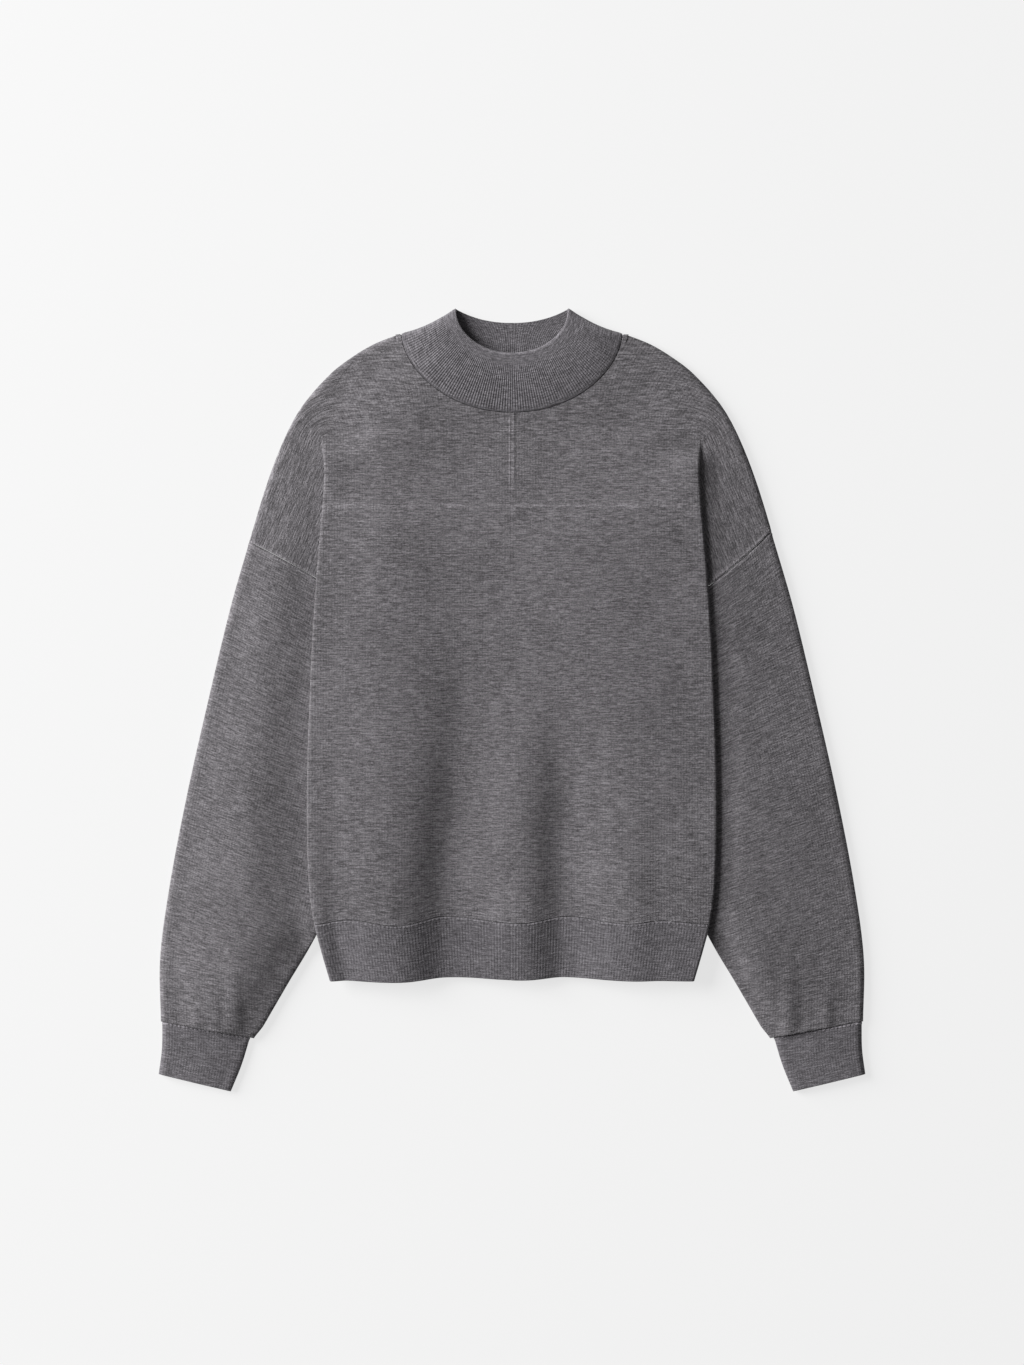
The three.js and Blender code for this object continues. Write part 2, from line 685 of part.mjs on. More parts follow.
// Turns at which points of the neck seam are evenly spaced, from its middle to the tip.
function evenTurns(face, count) {
  const fine = 200;
  const lengths = [0];
  for (let i = 1; i <= fine; i += 1) {
    const from = neckY(face, (i - 1) / fine);
    const to = neckY(face, i / fine);
    lengths.push(lengths[i - 1] + Math.hypot(neckX(face, to) - neckX(face, from), to - from));
  }
  const turns = [];
  let k = 1;
  for (let i = 0; i < count; i += 1) {
    const length = lengths[fine] * i / count;
    while (lengths[k] < length) k += 1;
    turns.push((k - (lengths[k] - length) / (lengths[k] - lengths[k - 1])) / fine);
  }
  return turns;
}

// Collar: its seam follows the neck hole, and its top edge two flatter arcs.
function collarPlace(face, turn, rise) {
  const baseY = neckY(face, turn);
  const baseX = neckX(face, baseY) - SEAM_GAP / 2;
  const angle = turn * Math.PI / 2;
  const topX = (COLLAR_TOP.tipX - RIB_WALL / 2) * Math.sin(angle);
  const topY = face === FACES.front
    ? mix(COLLAR_TOP.tipY, COLLAR_TOP.frontY, Math.cos(angle))
    : mix(COLLAR_TOP.tipY, COLLAR_TOP.backY, 1 - Math.sin(angle) ** 2.2);
  const sag = COLLAR_SAG * 4 * rise * (1 - rise) * turn ** 3;
  return { x: mix(baseX, topX, rise), y: mix(baseY, topY, rise) - sag, baseX, baseY };
}

// A point of the collar, with its folded side edge rounded, where front and back meet.
function collarPoint(face, side, turn, rise) {
  const { x, y, baseX, baseY } = collarPlace(face, turn, rise);
  const edge = collarPlace(face, 1, rise);
  const alongX = NECK_TIP.x - COLLAR_TOP.tipX;
  const alongY = COLLAR_TOP.tipY - NECK_TIP.y;
  const inset = ((edge.x - x) * alongY + (edge.y - y) * alongX) / Math.hypot(alongX, alongY);
  const topZ = face === FACES.front ? COLLAR_TOP.frontZ : BACK_Z;
  const z = mix(face.body(side * baseX, baseY), topZ, rise) + (RIB_WALL - WALL) / 2;
  return new THREE.Vector3(side * x, y, mix(EDGE_Z + rise, z, roundEdge(inset, EDGE_ROUND)));
}

function collarGeometry() {
  const sheet = new Sheet();
  const { front, back } = COLLAR_COLUMNS;
  const frontTurns = evenTurns(FACES.front, front);
  const backTurns = Array.from({ length: back }, (_, i) => 1 - (1 - i / back) ** 1.7);
  const rings = [];
  for (const rise of COLLAR_RISES) {
    const place = (face, side, turn, i) => {
      const ribbed = face === FACES.front && i % 2 === 0 && rise <= COLLAR_BAND;
      return sheet.add(collarPoint(face, side, turn, rise), ribbed ? RIB_HEIGHT : 0);
    };
    const quarter = (face, side, turns) => turns.map((turn, i) => place(face, side, turn, i));
    rings.push([
      ...quarter(FACES.front, 1, frontTurns),
      ...quarter(FACES.back, 1, [...backTurns, 1]).reverse(),
      ...quarter(FACES.back, -1, backTurns).slice(1),
      ...quarter(FACES.front, -1, [...frontTurns, 1]).reverse().slice(0, -1),
    ]);
  }
  sheet.joinRows(rings, true, false);
  return sheet.wall(RIB_WALL);
}

function part(name, geometry, colour) {
  const material = new THREE.MeshStandardMaterial({ color: colour, roughness: 0.95, metalness: 0 });
  const mesh = new THREE.Mesh(geometry, material);
  mesh.name = name;
  return mesh;
}

const sweater = new THREE.Group();
sweater.name = 'mock_neck_sweater';
sweater.add(part('front', panelGeometry(FACES.front, PANEL_COLUMNS.front), JERSEY_GREY));
sweater.add(part('back', panelGeometry(FACES.back, PANEL_COLUMNS.back), JERSEY_GREY));
sweater.add(part('collar', collarGeometry(), RIB_GREY));
sweater.add(part('hem_band', hemGeometry(), RIB_GREY));
for (const armhole of ARMHOLES) {
  const worn = armhole.side < 0 ? 'right' : 'left';
  sweater.add(part(armhole.sleeve, sleeveGeometry(armhole), JERSEY_GREY));
  sweater.add(part(`cuff_${worn}`, cuffGeometry(armhole.side), RIB_GREY));
}

export default sweater;
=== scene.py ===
"""A mock neck sweater laid flat: each knitted piece is a thin closed shell on its CAD solid.

Lengths are in millimetres until a mesh is made. +X runs to the wearer's left sleeve, +Y from the
hem to the neck and +Z up from the floor, as in the CAD model.
"""
import math

import bpy
import numpy as np
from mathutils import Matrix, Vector


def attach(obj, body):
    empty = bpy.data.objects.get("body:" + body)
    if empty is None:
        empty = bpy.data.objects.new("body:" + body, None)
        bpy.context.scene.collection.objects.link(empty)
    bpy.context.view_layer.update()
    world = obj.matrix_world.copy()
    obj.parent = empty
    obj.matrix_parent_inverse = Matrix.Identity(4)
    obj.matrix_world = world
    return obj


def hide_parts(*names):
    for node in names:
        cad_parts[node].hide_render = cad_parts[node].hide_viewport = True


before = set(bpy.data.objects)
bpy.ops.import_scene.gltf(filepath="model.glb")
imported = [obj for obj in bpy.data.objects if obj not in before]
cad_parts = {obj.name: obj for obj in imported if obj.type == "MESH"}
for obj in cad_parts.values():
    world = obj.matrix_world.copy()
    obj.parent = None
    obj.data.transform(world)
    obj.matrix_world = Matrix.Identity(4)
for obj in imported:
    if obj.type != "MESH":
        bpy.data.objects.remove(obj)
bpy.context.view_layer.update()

MM = 0.001

# ---------------------------------------------------------------- sizes, as in the CAD model
WALL = 1.8
RIB_WALL = 2.0
SEAM_GAP = 0.3
HALF = WALL / 2
LAYER = WALL + 0.75
BACK_Z = HALF
FOLD_STEP = 2 * LAYER
LOOSE_TOP_Z = 6.3
TUCKED_TOP_Z = BACK_Z + FOLD_STEP + LAYER
EDGE_Z = (BACK_Z + LOOSE_TOP_Z) / 2
CHEST_Z = 14.0
NECK_Z = 8.4
EDGE_ROUND = 5.0
BESIDE_FOLD = 4.5
FALL_WIDTH = 15.0
# The front's height falls from the chest to the neck, and near the tuck's inner edge it goes over
# to the folded edge's height. Hollows and unevenness fade out in a calm strip inside the fold.
MIDDLE_TO_NECK = {"from_y": 150, "run": 120}
TUCK_SLOPE = {"inside": 42, "run": 38}
CALM_STRIP = 16
NECK_TIP = (103.0, 341.5)
NECK_FRONT_Y = 268.2
NECK_BACK_Y = 298.0
NECK_BEND = {"up": 1.75, "out": 2.05}
PLEAT_APEX_X = 176.0
PLEAT_APEX_Y = 246.0
PLEAT_FULL_Y = 206.0
PLEAT_RISE_RUN = 30
CHEST_LINE_Y = 181.0
UNDERARM_Y = 56.0
HEM_SEAM_Y = -207.0
HEM_Y = -262.0
HEM_LEAN_FROM = {"y": -130, "run": 70}
TROUGH_FOOT_Y = -190.0
COLLAR_TOP = {"tip_x": 53.3, "tip_y": 365.0, "front_y": 323.6, "back_y": 352.4, "front_z": 10.6}

# Rows of each outline, from the hem up or from the armhole down
BODY = {
    "y": [-262, -232, -208, -180, -140, -65, 0, 56, 121, 206, 246],
    "fold": [169.8, 178.3, 184.2, 188.4, 190.7, 190.8, 188.6, 186.1, 181.8, 175, 176],
    "tuck": [157, 161, 160, 147, 127, 106, 93.5, 89, 124, 171.5, 171.5],
}
SHOULDER = {
    "y": [84, 121.5, 149.5, 205.6, 247.7, 275.7, 303.7, 317.8, 331.8, 341.5],
    "half": [262.5, 252.8, 244.9, 227.6, 210.8, 194.9, 170.1, 152.3, 129, 104.2],
}
SLEEVE = {
    "at": [0, 1, 2, 3, 4, 5, 6],
    "outer_x": [245.4, 263.2, 283.6, 303, 319.2, 328.6, 328],
    "outer_y": [147.5, 85, 0, -86, -170, -240, -300],
    "inner_x": [95.3, 102.8, 118.7, 144.9, 181.3, 210, 238.6],
    "inner_y": [56, 0, -65.4, -140.2, -216.8, -266, -315.4],
}
CUFF = {
    "at": [0, 0.5, 1],
    "outer_x": [326.6, 327.0, 330],
    "outer_y": [-300.25, -326, -349.4],
    "inner_x": [244.6, 252.6, 262.6],
    "inner_y": [-314.5, -340.6, -365.2],
}
# The armhole seams: each curve's top and middle point, and the share of it at the middle point
ARMHOLE_MID = 0.41
ARMHOLES = [
    {"side": -1, "worn": "right", "top": (245.4, 147.5), "mid": (183.6, 114.0)},
    {"side": 1, "worn": "left", "top": (242.2, 157.2), "mid": (188.4, 110.0)},
]
# The front's hollows: where each lies, its slant, widths and depth, and where and how it starts
TROUGHS = [
    {"x": -61, "slant": 0.1, "steep": 27, "gentle": 54, "depth": 8.4, "top": 150, "length": 310},
    {"x": 49, "slant": 0, "steep": 26, "gentle": 46, "depth": 9.6, "top": 60, "length": 220},
    {"x": -163, "slant": 0, "steep": 15, "gentle": 24, "depth": 2.0, "top": -10, "length": 190},
    {"x": 136, "slant": 0, "steep": 15, "gentle": 15, "depth": 1.0, "top": -90, "length": 110},
]

# How the front leans out near the hem: its lean for each millimetre above a level
HEM_LEAN = {"y": [HEM_Y, HEM_SEAM_Y], "lean": [0.45, 0.6], "level": [13.5, 8.5]}
# How much higher the back's lower edge lies
BACK_LIFT = 4.0
# How the hem's seam rises and falls across the front, and how far above and below it that shows
HEM_WAVE = {
    "x": [-190, -172, -146, -107, -67, 3, 57, 107, 139, 172, 190],
    "rise": [0.6, 1.8, 5.0, 1.2, 3.6, 0.4, 3.4, 1.4, 4.2, 1.8, 0.6],
}
HEM_WAVE_REACH = 32

# The soft fullness of the drop shoulders and sleeves, on the wearer's right and left: its height,
# how far it runs in from the outer edge and out from the body, and where the tuck's hump ends
RIGHT_FULL = {"height": 5.2, "in": 72, "out": 60, "hump": 200}
LEFT_FULL = {"height": 4.0, "in": 100, "out": 26, "hump": 15}
FULL_RUN = 90
# The front's fullness inside its folded edges: how far in it is highest and where it ends
RIGHT_ROLL = {"height": 2.6, "peak": 68, "end": 136}
LEFT_ROLL = {"height": 2.2, "peak": 95, "end": 190}
ROLL_TOP = {"y": 250, "run": 120}
# The shoulder on the wearer's right is fuller: how high, how far in from the outline it is highest
# and ends, where it starts above the chest and beside the middle, and how it fades at the fold
SHOULDER_FULL = {"height": 4.0, "peak": 74, "end": 190}
SHOULDER_FROM = {"y": 170, "run": 80, "middle_run": 40}
SHOULDER_AT_FOLD = {"inside": 60, "run": 50, "above": 40}


def mix(a, b, t):
    return a + (b - a) * t


def smooth(t):
    t = np.clip(t, 0.0, 1.0)
    return t * t * (3 - 2 * t)


def curve(table, key, column, at):
    """A smooth curve through a table's column, as in the CAD model."""
    keys = np.asarray(table[key], float)
    values = np.asarray(table[column], float)
    slopes = np.empty_like(values)
    slopes[1:-1] = (values[2:] - values[:-2]) / (keys[2:] - keys[:-2])
    slopes[0] = (values[1] - values[0]) / (keys[1] - keys[0])
    slopes[-1] = (values[-1] - values[-2]) / (keys[-1] - keys[-2])
    place = np.clip(np.asarray(at, float), keys[0], keys[-1])
    i = np.clip(np.searchsorted(keys, place, side="right") - 1, 0, len(keys) - 2)
    span = keys[i + 1] - keys[i]
    t = (place - keys[i]) / span
    rise = values[i + 1] - values[i]
    start, end = slopes[i] * span, slopes[i + 1] * span
    return values[i] + t * (start + t * (3 * rise - 2 * start - end + t * (start + end - 2 * rise)))


def fold_x(y):
    return curve(BODY, "y", "fold", y) - HALF


def tuck_x(y):
    return curve(BODY, "y", "tuck", y)


def shoulder_x(y):
    return curve(SHOULDER, "y", "half", y) - HALF


def inset_from_shoulder(x, y):
    slope = (shoulder_x(y + 1) - shoulder_x(y - 1)) / 2
    return (shoulder_x(y) - np.abs(x)) / np.hypot(1, slope)


def round_edge(inset, radius):
    t = np.clip(inset / radius, 0.0, 1.0)
    return np.sqrt(1 - (1 - t) ** 2)


def pleat_turn(y):
    return math.pi * smooth((PLEAT_APEX_Y - y) / (PLEAT_APEX_Y - PLEAT_FULL_Y))


def pleat_rise(y):
    return FOLD_STEP * smooth((PLEAT_APEX_Y - y) / PLEAT_RISE_RUN)


def tucked_share(x, y):
    outside = smooth((np.abs(x) - fold_x(y) - BESIDE_FOLD) / FALL_WIDTH)
    return (1 - outside) * pleat_rise(y) / FOLD_STEP


def under_z(x, y):
    return BACK_Z + FOLD_STEP * tucked_share(x, y)


def over_z(x, y):
    return mix(LOOSE_TOP_Z, TUCKED_TOP_Z, tucked_share(x, y))


def trough_depth(x, y):
    depth = 0.0
    for trough in TROUGHS:
        middle = trough["x"] + trough["slant"] * np.maximum(y - TROUGH_FOOT_Y, 0)
        width = np.where(x < middle, trough["steep"], trough["gentle"])
        across = np.exp(-(((x - middle) / width) ** 2))
        depth = depth + trough["depth"] * across * smooth((trough["top"] - y) / trough["length"])
    return depth


def unevenness(x, y):
    """Low unevenness of cloth that was smoothed out by hand: fine and broad drifting waves."""
    drift = np.sin(y / 31 + 0.9 * np.sin(x / 47))
    fine = np.sin(x / 9.5 + 2.1 * np.sin(y / 43)) * np.sin(y / 17 + 1.3 * np.sin(x / 29 + 1))
    broad = np.sin(x / 24 + 1.7 * drift) * np.sin(y / 38 + 0.6)
    return 0.07 * fine + 0.22 * broad


def hump(inset, size):
    """A soft hump by the distance in: it rises to its peak and falls away to its end."""
    falling = 1 - smooth((inset - size["peak"]) / (size["end"] - size["peak"]))
    return size["height"] * smooth(inset / size["peak"]) * falling


def side_roll(x, y):
    inset = fold_x(y) - FOLD_STEP / 4 - np.abs(x)
    rolls = [hump(inset, roll) for roll in (RIGHT_ROLL, LEFT_ROLL)]
    return np.where(x < 0, *rolls) * smooth((ROLL_TOP["y"] - y) / ROLL_TOP["run"])


def shoulder_full(x, y):
    full = hump(inset_from_shoulder(x, np.minimum(y, NECK_TIP[1] - 1)), SHOULDER_FULL)
    near_fold = smooth((np.abs(x) - fold_x(y) + SHOULDER_AT_FOLD["inside"]) / SHOULDER_AT_FOLD["run"])
    at_fold = near_fold * (1 - smooth((y - PLEAT_APEX_Y) / SHOULDER_AT_FOLD["above"]))
    above_chest = smooth((y - SHOULDER_FROM["y"]) / SHOULDER_FROM["run"])
    return full * above_chest * smooth(-x / SHOULDER_FROM["middle_run"]) * (1 - at_fold)


def front_z(x, y):
    """Height of the front's middle surface inside its folded edges."""
    middle = mix(CHEST_Z, NECK_Z, smooth((y - MIDDLE_TO_NECK["from_y"]) / MIDDLE_TO_NECK["run"]))
    side = over_z(fold_x(y), y) + pleat_rise(y)
    over_tuck = smooth((np.abs(x) - tuck_x(y) + TUCK_SLOPE["inside"]) / TUCK_SLOPE["run"])
    over_shoulder = smooth(np.abs(x) / (fold_x(y) - EDGE_ROUND))
    share = np.where(y > PLEAT_APEX_Y, over_shoulder, over_tuck)
    inside = smooth((fold_x(y) - FOLD_STEP / 4 - np.abs(x)) / CALM_STRIP)
    drape = side_roll(x, y) + shoulder_full(x, y) + unevenness(x, y) * inside
    return mix(middle, side, share) - trough_depth(x, y) * inside + drape


def back_z(x, y):
    return np.full(np.broadcast(x, y).shape, BACK_Z)


def outline_x(y):
    """Half width of the whole garment, down the drop shoulder and the sleeve."""
    sleeve = np.interp(y, SLEEVE["outer_y"][::-1], SLEEVE["outer_x"][::-1])
    return np.where(y > SLEEVE["outer_y"][0], shoulder_x(y), sleeve - HALF)


def full_z(x, y):
    """The top of a drop shoulder or sleeve, with its soft fullness. Here x has its sign."""
    across = np.abs(x)
    inner = np.interp(y, SLEEVE["inner_y"][::-1], SLEEVE["inner_x"][::-1])
    beside = across - np.maximum(fold_x(y), np.where(y > UNDERARM_Y, 0, inner))
    tops = []
    for run in (RIGHT_FULL, LEFT_FULL):
        full = smooth((outline_x(y) - across) / run["in"]) * smooth(beside / run["out"])
        full = run["height"] * full * smooth((PLEAT_APEX_Y - y) / FULL_RUN)
        over_tuck = 1 - smooth((across - fold_x(y) - BESIDE_FOLD) / run["hump"])
        over_tuck = over_tuck * pleat_rise(y) / FOLD_STEP
        tops.append(mix(LOOSE_TOP_Z, TUCKED_TOP_Z, over_tuck) + full)
    outside = smooth((across - fold_x(y) - BESIDE_FOLD) / FALL_WIDTH)
    return np.where(x < 0, *tops) + shoulder_full(x, y) + unevenness(x, y) * outside


FRONT = {"up": 1, "body": front_z, "drop": full_z, "neck": NECK_FRONT_Y}
BACK = {"up": -1, "body": back_z, "drop": under_z, "neck": NECK_BACK_Y}


def neck_x(face, y):
    t = np.clip((y - face["neck"]) / (NECK_TIP[1] - face["neck"]), 0.0, 1.0)
    return NECK_TIP[0] * (1 - (1 - t) ** NECK_BEND["up"]) ** (1 / NECK_BEND["out"])


def neck_y(face, turn):
    return mix(face["neck"], NECK_TIP[1], 1 - np.cos(turn * math.pi / 2))


def lean_y(face, x, y, z):
    """Near the hem the front leans out where it stands high, so its lower edge is wavy, and its
    seam rises and falls. The back's lower edge lies a little higher. Here x has its sign."""
    if face["up"] < 0:
        return y + BACK_LIFT * smooth((HEM_SEAM_Y - y) / (HEM_SEAM_Y - HEM_Y))
    wave = curve(HEM_WAVE, "x", "rise", x) * np.exp(-((y - HEM_SEAM_Y) / HEM_WAVE_REACH) ** 2)
    lean = np.interp(y, HEM_LEAN["y"], HEM_LEAN["lean"])
    level = np.interp(y, HEM_LEAN["y"], HEM_LEAN["level"])
    return y + wave - lean * (z - level) * smooth((HEM_LEAN_FROM["y"] - y) / HEM_LEAN_FROM["run"])


def armhole_point(armhole, share):
    """A point of the curve through the armhole's top, its middle point and the underarm."""
    inner = (SLEEVE["inner_x"][0], SLEEVE["inner_y"][0])
    mid = ARMHOLE_MID
    a = (share - mid) * (share - 1) / mid
    b = share * (share - 1) / (mid * (mid - 1))
    c = share * (share - mid) / (1 - mid)
    return [a * armhole["top"][k] + b * armhole["mid"][k] + c * inner[k] for k in (0, 1)]


# ---------------------------------------------------------------- sheets and walls
class Sheet:
    """A grid of points that becomes a wall: both faces, and a rim along each free edge."""

    def __init__(self):
        self.rows, self.quads = [], []
        self.count = 0

    def add_row(self, points, uv, raised=0.0, level=(1, 1, 1), tone=0.0, lining=0.0):
        """A row of points, how far its outer face is raised, what its rim's normals keep, how much
        lighter or darker it is painted (painted highlights and painted shade on seams, ridges, folds
        and ribs, and the hem's darker band), and how far its inner face is raised."""
        n = len(points)
        single = [np.broadcast_to(value, n) for value in (raised, tone, lining)]
        self.rows.append((points, uv, np.broadcast_to(level, (n, 3)), *single))
        ids = np.arange(self.count, self.count + n)
        self.count += n
        return ids

    def join(self, rows, closed=False, flip=False):
        for lower, upper in zip(rows, rows[1:]):
            count = len(lower) if closed else len(lower) - 1
            i = np.arange(count)
            j = (i + 1) % len(lower)
            quads = np.stack([lower[i], lower[j], upper[j], upper[i]], axis=1)
            self.quads.append(quads[:, [0, 3, 2, 1]] if flip else quads)

    def build(self, name, thickness, material):
        columns = [np.concatenate(column) for column in zip(*self.rows)]
        points, uv, level, raised, tone, lining = columns
        quads = np.concatenate(self.quads)
        corners = points[quads]
        across = corners[:, 2] - corners[:, 0]
        along = corners[:, 3] - corners[:, 1]
        face_normals = np.cross(across, along)
        normals = np.zeros_like(points)
        for k in range(4):
            np.add.at(normals, quads[:, k], face_normals)
        normals *= level
        normals /= np.maximum(np.linalg.norm(normals, axis=1, keepdims=True), 1e-9)
        outer = points + normals * (thickness / 2 + raised)[:, None]
        inner = points - normals * (thickness / 2 + lining)[:, None]
        n = len(points)
        edges = np.concatenate([quads[:, [k, (k + 1) % 4]] for k in range(4)])
        keys = edges[:, 0] * n + edges[:, 1]
        free = edges[~np.isin(keys, edges[:, 1] * n + edges[:, 0])]
        rim = np.stack([free[:, 0], n + free[:, 0], n + free[:, 1], free[:, 1]], axis=1)
        faces = np.concatenate([quads, n + quads[:, ::-1], rim])
        points, uv = np.concatenate([outer, inner]), np.concatenate([uv, uv])
        tone = np.concatenate([tone, np.zeros(n)])
        return make_mesh(name, points, faces, uv, tone, material)


def make_mesh(name, points, faces, uv, tone, material):
    """A mesh object in metres, with a UV map that follows the knit, also in metres."""
    mesh = bpy.data.meshes.new(name)
    mesh.from_pydata((points * MM).tolist(), [], faces.tolist())
    layer = mesh.uv_layers.new(name="knit")
    loops = np.empty(len(mesh.loops), dtype=np.int32)
    mesh.loops.foreach_get("vertex_index", loops)
    layer.data.foreach_set("uv", (uv[loops] * MM).astype(np.float32).ravel())
    # The tone attribute holds painted highlights and painted shade, and the hem's darker band
    shade = mesh.attributes.new("tone", "FLOAT", "POINT")
    shade.data.foreach_set("value", tone.astype(np.float32))
    mesh.polygons.foreach_set("use_smooth", np.ones(len(mesh.polygons), dtype=bool))
    mesh.materials.append(material)
    mesh.update()
    piece = bpy.data.objects.new(name, mesh)
    bpy.context.scene.collection.objects.link(piece)
    return piece


# ---------------------------------------------------------------- flat cut, for the knit's direction
# Outside the body's folded edge the drop shoulder is turned down about the pleat's apex: a table
# of how far it is turned back in the flat cut, by the direction from the apex.
TURNED = {
    "from": [-90, -45, 0, 45, 90, 130, 150, 180],
    "by": [70, 68, 62, 50, 32, 16, 7, 0],
}


def flat_cut(x, y, outside):
    """Where a point of the front or back lies in its flat cut. `outside` is past the fold."""
    side = np.where(x < 0, -1.0, 1.0)
    dx, dy = np.abs(x) - PLEAT_APEX_X, y - PLEAT_APEX_Y
    direction = np.degrees(np.arctan2(dy, dx))
    turned = np.interp(direction, TURNED["from"], TURNED["by"])
    angle = np.radians(np.where((dy < 0) & ~outside, 0.0, turned))
    flat_x = PLEAT_APEX_X + dx * np.cos(angle) - dy * np.sin(angle)
    flat_y = PLEAT_APEX_Y + dx * np.sin(angle) + dy * np.cos(angle)
    return np.stack([side * flat_x, flat_y], axis=-1)


# ---------------------------------------------------------------- front and back
ARC_STEPS = 8
TUCK_STEPS = 8
DROP_STEPS = 26
MIDDLE_COLUMNS = [0, 0.5, 1.0, 1.5, 2.0, 2.5, 3.1, 4.0, 5.5]
# Painted shade along the body's folded edge and the tuck under it, fading out over a run below the
# pleat's apex
FOLD_PAINTED_SHADE = -0.22
FOLD_SHADE_RUN = 40
# How far the rows above the pleat slant up to the shoulder line, and how soon they start and end
SHOULDER_SLANT = {"most": 26, "start": 0.3, "end": 1.6}
# The least turn, drop and length of a pleat's section, where it starts at the apex
LEAST_TURN = 0.03
LEAST_DROP = 0.08
LEAST_TUCK = 0.6
# How far in the tuck's cloth turns at the side seam
SEAM_TURN = 2.4
# The strip beside the armhole seam and the shoulder line where points are crowded
EDGE_STRIP = 6
# Above the apex the pleat's columns lie at one share of a row and spread over another
PLEAT_COLUMNS = {"at": 0.8, "spread": 0.1, "run": 20}


def row_end(armhole, y):
    seam_top = SLEEVE["outer_y"][0]
    if y >= seam_top:
        lift = (armhole["top"][1] - seam_top) * smooth((PLEAT_APEX_Y - y) / (PLEAT_APEX_Y - seam_top))
        t = min(max((y - PLEAT_APEX_Y) / (NECK_TIP[1] - PLEAT_APEX_Y), 0.0), 1.0)
        slant = smooth(t / SHOULDER_SLANT["start"]) * (1 - t ** SHOULDER_SLANT["end"])
        end_y = y + lift + SHOULDER_SLANT["most"] * slant
        return float(shoulder_x(end_y)), float(end_y)
    share = (seam_top - y) / (seam_top - UNDERARM_Y)
    end_x, end_y = armhole_point(armhole, share)
    return end_x - HALF * (1 - 2 * share), end_y + SEAM_GAP


def pleat_section(turn, rise, length):
    """One pleat in section: round its fold, back along the tuck and out again, from 0, 0."""
    angle = max(float(turn), LEAST_TURN)
    fall = max(float(rise), LEAST_DROP)
    arc = (fall - length * math.sin(angle)) * angle / (2 * (1 - math.cos(angle)))
    half_step = angle / ARC_STEPS / 2
    chord = arc * math.sin(half_step) / half_step / ARC_STEPS
    headings = [angle * (i + 0.5) / ARC_STEPS for i in range(ARC_STEPS)]
    moves = [(chord, heading) for heading in headings]
    moves += [(length / TUCK_STEPS, angle)] * TUCK_STEPS
    moves += [(chord, heading) for heading in reversed(headings)]
    x = np.cumsum([0.0] + [distance * math.cos(heading) for distance, heading in moves])
    z = np.cumsum([0.0] + [-distance * math.sin(heading) for distance, heading in moves])
    return x, z


def tuck_row(face, y):
    start_x = float(fold_x(y)) - FOLD_STEP / 4
    length = LEAST_TUCK
    if y <= PLEAT_FULL_Y:
        length = max(start_x - FOLD_STEP / 4 - float(tuck_x(y)), LEAST_TUCK)
    x, z = pleat_section(pleat_turn(y), pleat_rise(y), length)
    below = float(over_z(start_x + x[-1], y) if face["up"] > 0 else under_z(start_x + x[-1], y))
    return start_x + x, below + face["up"] * (z - z[-1])


def side_seam_row(face, y):
    """Below the underarm the tuck's cloth ends at the side seam, where front meets back."""
    x, z = tuck_row(face, y)
    kept = 1 + ARC_STEPS + TUCK_STEPS
    x, z = x[:kept], z[:kept]
    seam_z = BACK_Z + FOLD_STEP + LAYER / 2 + face["up"] * SEAM_GAP / 2
    angle = np.linspace(0, math.pi / 2, ARC_STEPS // 2 + 1)[1:]
    end_x = x[-1] - SEAM_TURN * np.sin(angle)
    end_z = mix(seam_z, z[-1], np.cos(angle))
    return np.concatenate([x, end_x]), np.concatenate([z, end_z])


def near_ends(count, lead):
    """Shares from 0 to 1 that crowd towards 1, for a rounded edge or a seam."""
    t = np.linspace(0, 1, count + 1)[1:]
    return np.where(t < 0.7, t / 0.7 * (1 - lead), 1 - lead * ((1 - t) / 0.3) ** 1.8)


def row_start(face, y):
    """Half the neck hole's width at a row, or the middle below it."""
    if y > face["neck"] - SEAM_GAP:
        return float(neck_x(face, y + SEAM_GAP)) + SEAM_GAP / 2
    return 0.0


def pleat_columns(tuck, start_x, end_x, y):
    """Where a row crosses the pleat. Above the apex the pleat opens out into plain cloth."""
    if y <= PLEAT_APEX_Y:
        return tuck
    shift = mix(start_x, end_x, PLEAT_COLUMNS["at"]) - tuck[0]
    width = (end_x - start_x) * PLEAT_COLUMNS["spread"]
    spread = tuck[0] + shift + width * np.linspace(0, 1, len(tuck))
    return mix(tuck + shift, spread, smooth((y - PLEAT_APEX_Y) / PLEAT_COLUMNS["run"]))


def shaped_row(face, side, x, y, z, last_inside):
    """A half row's points, rounded down to the seam along the shoulder, and its flat cut."""
    seam_z = EDGE_Z + face["up"] * SEAM_GAP / 2
    rounded = round_edge(inset_from_shoulder(x, y), EDGE_ROUND)
    z = mix(seam_z, z, np.where(y > SHOULDER["y"][0], rounded, 1.0))
    uv = flat_cut(side * x, y, np.arange(len(x)) > last_inside)
    return np.stack([side * x, lean_y(face, side * x, y, z), z], axis=1), uv


